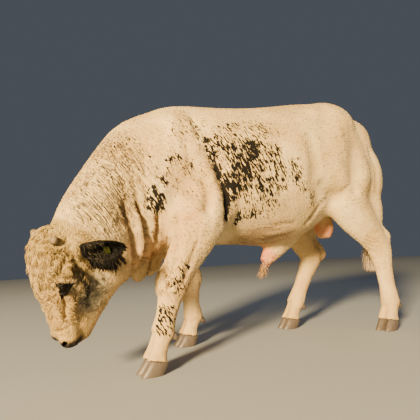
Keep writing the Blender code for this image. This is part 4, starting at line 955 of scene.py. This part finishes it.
class Nodes:
    """Short ways to lay out one material's nodes."""

    def __init__(self, name):
        self.made = bpy.data.materials.new(name)
        self.made.use_nodes = True
        self.tree = self.made.node_tree
        self.shader = self.tree.nodes["Principled BSDF"]
        self.place = self.tree.nodes.new("ShaderNodeTexCoord").outputs["Object"]

    def link(self, source, target):
        """Join an output to an input, or set the input to a constant."""
        if hasattr(source, "is_output"):
            self.tree.links.new(source, target)
        else:
            target.default_value = source

    def math(self, kind, first, second=0.0, clamp=False):
        """A Math node's output."""
        node = self.tree.nodes.new("ShaderNodeMath")
        node.operation = kind
        node.use_clamp = clamp
        self.link(first, node.inputs[0])
        self.link(second, node.inputs[1])
        return node.outputs[0]

    def value(self, name):
        """A marking strength kept on the mesh."""
        node = self.tree.nodes.new("ShaderNodeAttribute")
        node.attribute_name = name
        return node.outputs["Fac"]

    def noise(self, scale, detail=2.0, turn=0, rough=0.5, warp=0.0):
        """A noise texture, stretched by its scale along three axes and turned about y."""
        place = self.tree.nodes.new("ShaderNodeMapping")
        place.vector_type = "TEXTURE"
        place.inputs["Rotation"].default_value = (0, math.radians(turn), 0)
        place.inputs["Scale"].default_value = [1 / size for size in scale]
        self.link(self.place, place.inputs["Vector"])
        node = self.tree.nodes.new("ShaderNodeTexNoise")
        self.link(place.outputs[0], node.inputs["Vector"])
        for name, number in (("Scale", 1.0), ("Detail", detail), ("Roughness", rough),
                             ("Distortion", warp)):
            node.inputs[name].default_value = number
        return node.outputs["Fac"]

    def mix(self, share, first, second, kind="MIX"):
        """A colour mix."""
        node = self.tree.nodes.new("ShaderNodeMix")
        node.data_type = "RGBA"
        node.blend_type = kind
        self.link(share, node.inputs[0])
        self.link(first, node.inputs[6])
        self.link(second, node.inputs[7])
        return node.outputs[2]

    def step(self, value, low, high):
        """0 below low, 1 above high and straight between."""
        node = self.tree.nodes.new("ShaderNodeMapRange")
        node.clamp = True
        self.link(value, node.inputs["Value"])
        self.link(low, node.inputs["From Min"])
        self.link(high, node.inputs["From Max"])
        return node.outputs[0]

    def times(self, *shares):
        """The product of several shares."""
        product = shares[0]
        for share in shares[1:]:
            product = self.math("MULTIPLY", product, share)
        return product

    def plus(self, *parts):
        """The sum of several parts."""
        total = parts[0]
        for part in parts[1:]:
            total = self.math("ADD", total, part)
        return total

    def patches(self, scale, detail, low, high, **noise):
        """Soft patches of noise between two limits."""
        return self.step(self.noise(scale, detail, **noise), low, high)

    def tint(self, tone, hue, *shares):
        """A tone with a hue mixed in by the product of several shares."""
        return self.mix(self.times(*shares), tone, (*hue[:3], 1.0))

    def bump(self, height, strength, distance, before=None):
        """A bump, on top of another if one is given."""
        node = self.tree.nodes.new("ShaderNodeBump")
        node.inputs["Strength"].default_value = strength
        node.inputs["Distance"].default_value = distance
        self.link(height, node.inputs["Height"])
        if before:
            self.link(before, node.inputs["Normal"])
        return node.outputs[0]

    def surface(self, **settings):
        """Set the shader's own sockets, named with _ for a space."""
        for name, number in settings.items():
            self.shader.inputs[name.replace("_", " ")].default_value = number
        return self.made


def marked_tone(n, settings, hair):
    """The colour of hide or hair from the marking strengths, with painted shade in creases,
    furrows, ripples and crevices and on the shaded cheek.
    """
    grizzle_and_shade, face = n.value("grizzled_and_shade"), n.step(n.value("tan"), 0.4, 0.9)
    tone = n.mix(n.patches((5, 5, 5), 3, 0.35, 0.65), (*settings.cream, 1), (*settings.pale, 1))
    tone = n.tint(tone, TAN, n.value("tan"), n.patches((14, 14, 10), 3, 0.10, 0.62))
    stain = n.times(n.value("warm"), n.patches((9, 9, 7), 4, 0.30, 0.70), 0.8)
    tone = n.tint(tone, settings.warm, n.plus(stain, 0.04))
    tone = n.tint(tone, settings.grey, n.patches((38, 38, 30), 4, 0.50, 0.78, rough=0.65), 0.30)
    tone = n.tint(tone, DUST, n.patches((3.2, 3.2, 4.0), 4, 0.44, 0.62, rough=0.6), 0.36)
    # Painted shade greys the shaded cheek and jaw along with the grizzled hair.
    tone = n.tint(tone, GRIZZLE_AND_SHADE, grizzle_and_shade, 0.65)
    hairs = n.patches((260, 260, 70), 3, 0.42, 0.60, turn=-30, rough=0.6)
    tone = n.tint(tone, DARK_HAIR, hairs, grizzle_and_shade, 0.60)
    tone = n.tint(tone, settings.pink, n.value("pink"), n.patches((12, 12, 12), 2, 0.1, 0.6))
    # Painted shade in the troughs of the neck's ripples.
    ripple_shade = n.step(n.noise(*RIPPLE_NOISE, turn=-37, warp=0.5), 0.55, 0.62)
    patchy = n.patches((7, 7, 7), 2, 0.34, 0.52)
    tone = n.tint(tone, RIPPLE_SHADE, ripple_shade, patchy, n.value("wrinkle"), 0.85)
    # Painted shade in the crevices between the crown's curls.
    crevice_shade = n.patches((125, 125, 48), 2.0, 0.50, 0.43, warp=1.4)
    tone = n.tint(tone, CREVICE_SHADE, n.value("curl"), crevice_shade, 0.62 if hair else 0.85)
    wisps = n.step(n.noise(*WISP_NOISE, turn=12, warp=0.8), 0.55, 0.64)
    tone = n.tint(tone, BROWN, wisps, face, 0.50)
    # Painted shade in the creases of folds and under the belly.
    tone = n.tint(tone, BROWN, n.value("crease_shade"), 0.74)
    # Painted shade in the neck's furrows.
    tone = n.tint(tone, BROWN, n.value("furrow_shade"), 0.60)
    tone = n.mix(fleck_mask(n), tone, (*settings.black, 1.0))
    # Black of the cheek's streak, the nose and the skin round the eyes, with painted shade behind
    # the ear and under the brow.
    dark = n.math("MULTIPLY", n.value("dark"), n.patches((60, 60, 30), 3, 0.10, 0.42), clamp=True)
    return n.mix(dark, tone, (*settings.black, 1.0))


def fleck_mask(n):
    """1 in the black flecks, which grow and join where their strength is high."""
    fleck = n.value("fleck")
    limit = n.math("SUBTRACT", FLECK_LIMIT, n.times(fleck, FLECK_GROWTH))
    coarse = n.noise((118, 60, 29), 3.0, turn=-25, rough=0.55, warp=0.25)
    wide = n.noise((22, 20, 13), 2.0, turn=-30)
    fine = n.noise((160, 110, 75), 2.0, turn=-30, rough=0.6)
    mixed = n.plus(n.times(coarse, 0.72), n.times(fine, 0.20), n.times(wide, 0.12))
    mask = n.step(n.math("SUBTRACT", mixed, limit), -0.006, 0.014)
    mask = n.times(mask, n.step(fleck, 0.02, 0.10))
    specks = n.times(n.patches((170, 150, 110), 1.0, 0.695, 0.735), n.step(fleck, 0.10, 0.60))
    return n.math("MAXIMUM", mask, specks)


def hide_material(settings, hair):
    """The hide's markings and painted shade; hair is the same with a hair's own lightness and no
    bump.
    """
    n = Nodes("coat" if hair else "hide")
    tone = marked_tone(n, settings, hair)
    if hair:
        tone = n.mix(1.0, tone, n.plus(n.times(n.value("shade"), 0.30), 0.84), "MULTIPLY")
    else:
        normal = n.bump(n.noise((420, 420, 150), turn=-30), 0.35, 0.003)
        normal = n.bump(n.noise((48, 48, 32), 3.0, turn=-30), 0.30, 0.006, normal)
        ripple = n.times(n.noise(*RIPPLE_NOISE, turn=-37, warp=0.5), n.value("wrinkle"), -1.0)
        normal = n.bump(ripple, 1.0, 0.024, normal)
        wisps = n.times(n.noise(*WISP_NOISE, turn=12, warp=0.8), n.step(n.value("tan"), 0.4, 0.9))
        normal = n.bump(wisps, 1.0, 0.008, normal)
        curl = n.times(n.noise((85, 85, 85), 3.0), n.value("curl"))
        n.link(n.bump(curl, 0.8, 0.012, normal), n.shader.inputs["Normal"])
    n.link(tone, n.shader.inputs["Base Color"])
    return n.surface(Roughness=0.72, Specular_IOR_Level=0.10, Sheen_Weight=0.06,
                     Sheen_Roughness=0.5)


def plain_material(name, tone, roughness, specular, mottle=0.0):
    """A plain material with a little mottling."""
    n = Nodes(name)
    mottling = n.times(n.patches((60, 60, 18), 4, 0.3, 0.7), mottle)
    mixed = n.mix(mottling, (*tone, 1.0), (*(0.45 * part for part in tone), 1.0))
    n.link(mixed, n.shader.inputs["Base Color"])
    return n.surface(Roughness=roughness, Specular_IOR_Level=specular)


def hair_material(name, deep, light):
    """Hair whose locks differ in tone between two colours."""
    n = Nodes(name)
    n.link(n.mix(n.value("shade"), (*deep, 1.0), (*light, 1.0)), n.shader.inputs["Base Color"])
    return n.surface(Roughness=0.55, Specular_IOR_Level=0.07)


def triangulated(mesh):
    """Cut every face of a mesh into triangles."""
    bm = bmesh.new()
    bm.from_mesh(mesh)
    bmesh.ops.triangulate(bm, faces=bm.faces)
    bm.to_mesh(mesh)
    bm.free()


def solid_piece(name, node):
    """A new object with a copy of one solid, its doubled points merged."""
    mesh = solid_copy([node])
    bm = bmesh.new()
    bm.from_mesh(mesh)
    bmesh.ops.remove_doubles(bm, verts=bm.verts, dist=0.00002)
    bm.to_mesh(mesh)
    bm.free()
    return linked(name, mesh)


def hue(name, description, default):
    """A colour setting."""
    return FloatVectorProperty(name=name, description=description, subtype="COLOR",
                               default=default)


class BullSettings(bpy.types.PropertyGroup):
    """Sizes and colours of the bull's looks."""

    skin_grain: FloatProperty(
        name="Skin grain", description="Voxel size that the flesh is fused at",
        default=0.0052, unit="LENGTH")
    skin_triangles: IntProperty(
        name="Skin triangles", description="About how many triangles the hide keeps",
        default=118000)
    coat_depth: FloatProperty(
        name="Coat depth", description="How far the skin lies inside the solids",
        default=0.003, unit="LENGTH")
    body_tufts: IntProperty(
        name="Body tufts", description="Tufts in each of the four body pieces", default=16000)
    head_curls: IntProperty(
        name="Head curls", description="Curls in each half of the crown", default=1380)
    face_tufts: IntProperty(
        name="Face tufts", description="Small tufts on the face", default=15000)
    cream: hue("Cream", "Main colour of the coat", (0.60, 0.420, 0.176))
    pale: hue("Pale", "Lightest colour of the coat", (0.72, 0.560, 0.280))
    warm: hue("Warm", "Orange tint on the shoulder and legs", (0.56, 0.285, 0.115))
    black: hue("Black", "Colour of the flecks and ears", (0.008, 0.0065, 0.006))
    grey: hue("Grey", "Dust and grey hairs", (0.33, 0.25, 0.17))
    pink: hue("Pink", "Thinly haired skin", (0.62, 0.215, 0.115))


# What one step makes and later ones use: the hide's and the coat's materials, and the skin.
shared = {}


class BULL_OT_hide(bpy.types.Operator):
    """Build the one skin that replaces the solids of flesh"""

    bl_idname = "bull.hide"
    bl_label = "Build hide"

    def execute(self, context):
        settings = context.scene.bull
        skin = build_skin(settings)
        shared["hide"] = hide_material(settings, hair=False)
        shared["coat"] = hide_material(settings, hair=True)
        shared["ground"] = Ground(skin)
        finished(skin, shared["hide"], *FLESH)
        return {"FINISHED"}


class BULL_OT_coat(bpy.types.Operator):
    """Build the short coat of the body and legs"""

    bl_idname = "bull.coat"
    bl_label = "Build body coat"

    def execute(self, context):
        settings = context.scene.bull
        ground = shared["ground"]
        body = in_bull(ground.middles)
        head = is_head(ground.middles)
        bare = blob(body, (1.18, 0, 0.66), (0.12, 0.13, 0.10))
        weights = (1 - head) * (1 - 0.9 * bare)
        left = ground.face_normals[:, 1] < 0
        front = body[:, 0] < 0.45
        legs = body[:, 2] < 0.55
        weights = weights * np.where(legs, 2.2, 1.0)
        for number, (on_left, in_front) in enumerate(((1, 1), (1, 0), (0, 1), (0, 0))):
            chosen = (left == bool(on_left)) & (front == bool(in_front))
            rng = np.random.default_rng(SEED + number)
            tufts = short_tufts(f"coat_body_{number}", ground, weights * chosen,
                                settings.body_tufts, 0.021, 0.0042, 0.10, rng)
            finished(tufts, shared["coat"])
        return {"FINISHED"}


class BULL_OT_face(bpy.types.Operator):
    """Build the curls of the crown and the small tufts of the face"""

    bl_idname = "bull.face"
    bl_label = "Build head coat"

    def execute(self, context):
        settings = context.scene.bull
        ground = shared["ground"]
        head = is_head(ground.middles)
        from_poll = in_head(ground.middles)
        crown = head * curl_share(from_poll)
        clear = np.ones(len(head))
        for side in (1, -1):
            centre, radius, *_ = eye_frame(side)
            away = np.linalg.norm(ground.middles - centre, axis=1)
            clear *= smooth(away, radius * 1.2, radius * 1.5)
        clear *= 1 - eye_patch_and_brow_shade(from_poll, 0.010)
        below = from_poll - np.array((0.0, 0.0, 0.020))
        clear *= 1 - smooth(eye_patch_and_brow_shade(below, 0.010), 0.0, 0.5)
        far = 1 - smooth(eye_patch_and_brow_shade(from_poll, 0.034), 0.0, 0.25)
        muzzle = smooth(-from_poll[:, 2], 0.47, 0.52) * smooth(from_poll[:, 0], -0.19, -0.15)
        for number, half in enumerate((from_poll[:, 1] > 0, from_poll[:, 1] <= 0)):
            rng = np.random.default_rng(SEED + 10 + number)
            hooks = curls(f"coat_crown_{number}", ground, crown * clear * far * half,
                          settings.head_curls, rng)
            finished(hooks, shared["coat"])
        rng = np.random.default_rng(SEED + 12)
        tufts = short_tufts("coat_face", ground, head * clear * (1 - 0.7 * crown) * (1 - muzzle),
                            settings.face_tufts, 0.018, 0.0028, 0.14, rng, curl=0.25, jitter=0.35)
        finished(tufts, shared["coat"])
        return {"FINISHED"}


class BULL_OT_ears(bpy.types.Operator):
    """Build the ears, their fringes and their inner hair"""

    bl_idname = "bull.ears"
    bl_label = "Build ears"

    def execute(self, context):
        skin = plain_material("ear", (0.010, 0.009, 0.009), 0.9, 0.08, mottle=0.5)
        hair = hair_material("ear hair", (0.0025, 0.0022, 0.0025), (0.008, 0.007, 0.007))
        grey = hair_material("inner ear hair", (0.012, 0.011, 0.010), (0.10, 0.085, 0.065))
        for side in ("left", "right"):
            ear = solid_piece("ear_piece_" + side, "ear_" + side)
            round_off = ear.modifiers.new("round", "SUBSURF")
            round_off.levels = 2
            round_off.render_levels = 2
            applied(ear)
            triangulated(ear.data)
            ground = Ground(ear)
            self.dress(side, ground, hair, grey)
            finished(ear, skin, "ear_" + side, slot="hide_black")
        return {"FINISHED"}

    def dress(self, side, ground, hair, grey):
        """Root a fringe along the ear's lower edge, a coat on its back and hair in its cup."""
        sign = 1 if side == "left" else -1
        rng = np.random.default_rng(SEED + (20 if side == "left" else 30))
        root = from_head((-0.140, sign * 0.148, -0.078))
        middle = ground.points.mean(0)
        along = unit(middle - root)
        down = unit(DOWN - along * (along @ DOWN))
        lower = (ground.middles - middle) @ down
        reach = (ground.middles - root) @ along / ((ground.middles - root) @ along).max()
        body = lower < np.quantile(lower, 0.86)
        edge = body * smooth(lower, np.quantile(lower, 0.45), np.quantile(lower, 0.75))
        edge *= smooth(reach, 0.15, 0.35) * (1 - smooth(reach, 0.66, 0.86))
        cup = body * (1 - smooth(reach, 0.30, 0.60)) * smooth(reach, 0.05, 0.15)
        for part, weights, count, way, length, width, finish, shape in (
                ("fringe", edge, 420, (0.45, 0.9, 0.15), (0.036, 0.55, 1.35),
                 (0.0042, 0.7, 1.3), hair, dict(steps=6, fan=0.20)),
                ("coat", body * 1.0, 2600, (0.9, 0.45, 0.22), (0.014, 0.6, 1.4),
                 (0.0024, 0.7, 1.3), hair, dict(steps=4, sides=3, droop=0.15, wave=0.02, fan=0.25)),
                ("inner", cup, 260, (0.9, 0.25, 0.25), (0.030, 0.6, 1.3),
                 (0.0026, 0.7, 1.3), grey, dict(steps=6, sides=3, droop=0.3, wave=0.06, fan=0.25))):
            roots, normals = ground.scattered(weights, count, rng)
            ways = along * way[0] + down * way[1] + normals * way[2]
            locks = hanging_locks(f"ear_{part}_{side}", ground, roots, normals, ways, length,
                                  width, rng, **shape)
            finished(locks, finish, slot="hide_black")


class BULL_OT_locks(bpy.types.Operator):
    """Build the tail switch and the tuft of the sheath"""

    bl_idname = "bull.locks"
    bl_label = "Build long hair"

    def execute(self, context):
        pale = hair_material("tail hair", (0.36, 0.24, 0.12), (0.78, 0.64, 0.44))
        tawny = hair_material("sheath hair", (0.26, 0.13, 0.055), (0.58, 0.38, 0.20))
        rng = np.random.default_rng(SEED + 40)
        core = linked("switch_core", solid_copy(["tail_switch"]))
        triangulated(core.data)
        points, _ = arrays_of(core.data)
        top, low = points[:, 2].max(), points[:, 2].min()
        axis = points[points[:, 2] > top - 0.05].mean(0)
        ground = Ground(core)
        bpy.data.objects.remove(core, do_unlink=True)
        count = 900
        height = top - (top - low) * 0.52 * rng.random(count) ** 1.3
        angle = rng.uniform(0, 2 * np.pi, count)
        out = np.stack((np.cos(angle), np.sin(angle), np.zeros(count)), axis=1)
        roots = axis * (1, 1, 0) + out * 0.013
        roots[:, 2] += height
        locks = hanging_locks("switch", ground, roots, out, out * 0.22 + DOWN, (0.22, 0.6, 1.15),
                              (0.0075, 0.6, 1.3), rng, steps=9, droop=0.6, wave=0.05, fan=0.06,
                              longest=height - low + 0.015)
        finished(locks, pale, "tail_switch")
        ground = shared["ground"]
        tip = blob(in_bull(ground.middles), (0.635, 0, 0.452), (0.042, 0.042, 0.042))
        roots, normals = ground.scattered(tip, 240, rng)
        ways = normals * 0.45 + DOWN + (-0.15, 0, 0)
        locks = hanging_locks("sheath_tuft", ground, roots, normals, ways, (0.056, 0.4, 1.25),
                              (0.0032, 0.6, 1.3), rng, sides=3, fan=0.22)
        finished(locks, tawny)
        return {"FINISHED"}


class BULL_OT_eyes(bpy.types.Operator):
    """Build the eyeballs and the wet rims of their lids"""

    bl_idname = "bull.eyes"
    bl_label = "Build eyes"

    def execute(self, context):
        ball_finish = plain_material("eyeball", (0.004, 0.003, 0.002), 0.18, 0.10)
        rim_finish = plain_material("lid rim", (0.005, 0.0045, 0.004), 0.75, 0.06)
        for name, side in (("left", 1), ("right", -1)):
            centre, radius, out, along, up = eye_frame(side)
            bm = bmesh.new()
            bmesh.ops.create_uvsphere(bm, u_segments=32, v_segments=20, radius=radius)
            mesh = bpy.data.meshes.new("eyeball_" + name)
            bm.to_mesh(mesh)
            bm.free()
            mesh.transform(Matrix.Translation(Vector(centre)))
            finished(linked("eyeball_" + name, mesh), ball_finish, "eye_" + name, slot="eye")
            phi = np.linspace(0, 2 * np.pi, 48, endpoint=False)
            wide = radius * np.cos(phi)
            tall = radius * np.where(np.sin(phi) > 0, 0.60, 0.47) * np.sin(phi) * (
                1 - 0.18 * np.cos(phi) ** 2)
            deep = np.sqrt(np.maximum((radius * 1.04) ** 2 - wide ** 2 - tall ** 2,
                                      (radius * 0.18) ** 2))
            path = (centre + out * deep[:, None] + along * wide[:, None] + up * tall[:, None])
            finished(ring_tube("lid_rim_" + name, path, 0.0021, 8), rim_finish,
                     slot="hide_black")
        return {"FINISHED"}


def ring_tube(name, path, radius, sides):
    """A closed tube round a closed path."""
    count = len(path)
    along = unit(np.roll(path, -1, axis=0) - np.roll(path, 1, axis=0))
    middle = path.mean(0)
    out = unit(path - middle)
    out = unit(out - along * (out * along).sum(1)[:, None])
    up = np.cross(along, out)
    angles = 2 * np.pi * np.arange(sides) / sides
    points = (path[:, None] + out[:, None] * (np.cos(angles) * radius)[None, :, None]
              + up[:, None] * (np.sin(angles) * radius)[None, :, None]).reshape(-1, 3)
    faces = []
    for i in range(count):
        for k in range(sides):
            j, m = (i + 1) % count, (k + 1) % sides
            faces.append((i * sides + k, i * sides + m, j * sides + m, j * sides + k))
    mesh = bpy.data.meshes.new(name)
    mesh.from_pydata(points.tolist(), [], faces)
    mesh.update()
    return linked(name, mesh)


class BULL_OT_horn(bpy.types.Operator):
    """Build the horn stubs, claws and dewclaws"""

    bl_idname = "bull.horn"
    bl_label = "Build horn and claws"

    def execute(self, context):
        claw_finish = plain_material("claw horn", (0.13, 0.10, 0.08), 0.45, 0.4, mottle=0.6)
        horn_finish = plain_material("horn stub", (0.25, 0.185, 0.105), 0.9, 0.08, mottle=0.9)
        for names, finish in ((CLAWS + DEWCLAWS, claw_finish),
                              (["horn_left", "horn_right"], horn_finish)):
            for node in names:
                piece = solid_piece(node + "_piece", node)
                edge = piece.modifiers.new("edge", "BEVEL")
                edge.width = 0.002
                edge.segments = 2
                edge.limit_method = "ANGLE"
                edge.angle_limit = math.radians(40)
                applied(piece)
                finished(piece, finish, node, slot="horn")
        return {"FINISHED"}


class BULL_OT_tags(bpy.types.Operator):
    """Build the plain ear tags"""

    bl_idname = "bull.tags"
    bl_label = "Build ear tags"

    def execute(self, context):
        # The ear tags' yellow is painted in shade, as a dim olive.
        finish = plain_material("ear tag", (0.024, 0.027, 0.005), 0.75, 0.08, mottle=0.5)
        for side in ("left", "right"):
            piece = solid_piece("tag_piece_" + side, "tag_" + side)
            finished(piece, finish, "tag_" + side, slot="tag", rounded=False)
        return {"FINISHED"}


# The camera that the photograph was fitted with: place in the bull's frame, and its turns.
CAMERA_PLACE = (-0.93, -2.25, 0.555)
CAMERA_YAW = math.radians(28.5)
CAMERA_PITCH = math.radians(5.7)
CAMERA_ROLL = math.radians(-3.0)
SENSOR = 36.0
CAMERA_LENS = SENSOR * 430 / 420

# Lamps: name, place, what it looks at, size, power and tint. The key stands where the sun does.
LAMPS = (
    ("key", (-11.5, -9.0, 4.7), (0.1, -0.1, 0.7), 2.2, 11800, (1.0, 0.74, 0.37)),
    ("fill", (3.0, -4.5, 2.2), (0.3, 0, 0.8), 3.0, 30, (0.80, 0.88, 1.0)),
    ("rim", (2.2, 4.2, 3.8), (0.0, 0, 0.8), 2.5, 28, (1.0, 0.96, 0.88)),
)


class BULL_OT_stage(bpy.types.Operator):
    """Set up the floor, the lights and the camera"""

    bl_idname = "bull.stage"
    bl_label = "Build stage"

    def execute(self, context):
        world = bpy.data.worlds.new("studio")
        context.scene.world = world
        world.use_nodes = True
        sky = world.node_tree.nodes["Background"]
        sky.inputs["Color"].default_value = (0.72, 0.83, 1.0, 1.0)
        sky.inputs["Strength"].default_value = 0.10
        bm = bmesh.new()
        bmesh.ops.create_grid(bm, x_segments=1, y_segments=1, size=14.0)
        mesh = bpy.data.meshes.new("floor")
        bm.to_mesh(mesh)
        bm.free()
        floor = linked("floor", mesh)
        floor.location.z = -0.001
        floor.data.materials.append(plain_material("floor", (0.38, 0.405, 0.44), 0.9, 0.1))
        lights = [self.lamp(*lamp) for lamp in LAMPS]
        camera = bpy.data.objects.new("camera", bpy.data.cameras.new("camera"))
        context.scene.collection.objects.link(camera)
        camera.data.lens = CAMERA_LENS
        camera.data.sensor_width = SENSOR
        camera.data.sensor_fit = "HORIZONTAL"
        camera.matrix_world = self.camera_matrix()
        context.scene.camera = camera
        return {"FINISHED"}

    def lamp(self, name, place, target, size, power, tint):
        """A soft square lamp that looks at a point."""
        data = bpy.data.lights.new(name, "AREA")
        data.size = size
        data.energy = power
        data.color = tint
        lamp = bpy.data.objects.new(name, data)
        bpy.context.scene.collection.objects.link(lamp)
        lamp.location = place
        way = Vector(target) - Vector(place)
        lamp.rotation_euler = way.to_track_quat("-Z", "Y").to_euler()
        return lamp

    def camera_matrix(self):
        """Where the camera stands and how it is turned."""
        level_right = Vector((math.cos(CAMERA_YAW), -math.sin(CAMERA_YAW), 0))
        level_ahead = Vector((math.sin(CAMERA_YAW), math.cos(CAMERA_YAW), 0))
        ahead = level_ahead * math.cos(CAMERA_PITCH) + Vector((0, 0, math.sin(CAMERA_PITCH)))
        level_up = level_ahead * -math.sin(CAMERA_PITCH) + Vector((0, 0, math.cos(CAMERA_PITCH)))
        right = level_right * math.cos(CAMERA_ROLL) + level_up * math.sin(CAMERA_ROLL)
        up = level_right * -math.sin(CAMERA_ROLL) + level_up * math.cos(CAMERA_ROLL)
        matrix = Matrix((right, up, -ahead)).transposed().to_4x4()
        matrix.translation = Vector(CAMERA_PLACE) + Vector(OFFSET)
        return matrix


class BULL_PT_panel(bpy.types.Panel):
    """The bull's sidebar panel"""

    bl_idname = "BULL_PT_panel"
    bl_label = "Grazing bull"
    bl_space_type = "VIEW_3D"
    bl_region_type = "UI"
    bl_category = "Bull"

    def draw(self, context):
        settings = context.scene.bull
        for name in BullSettings.__annotations__:
            self.layout.prop(settings, name)
        for operator in STEPS:
            self.layout.operator(operator.bl_idname)


STEPS = (BULL_OT_hide, BULL_OT_coat, BULL_OT_face, BULL_OT_ears, BULL_OT_locks, BULL_OT_eyes,
         BULL_OT_horn, BULL_OT_tags, BULL_OT_stage)


def register():
    """Add the settings, the steps and the panel."""
    for cls in (BullSettings, *STEPS, BULL_PT_panel):
        bpy.utils.register_class(cls)
    bpy.types.Scene.bull = PointerProperty(type=BullSettings)


def unregister():
    """Take them away again."""
    del bpy.types.Scene.bull
    for cls in reversed((BullSettings, *STEPS, BULL_PT_panel)):
        bpy.utils.unregister_class(cls)


def main():
    """Build every piece in order."""
    register()
    bpy.ops.bull.hide()
    bpy.ops.bull.coat()
    bpy.ops.bull.face()
    bpy.ops.bull.ears()
    bpy.ops.bull.locks()
    bpy.ops.bull.eyes()
    bpy.ops.bull.horn()
    bpy.ops.bull.tags()
    bpy.ops.bull.stage()


if __name__ == "__main__":
    main()
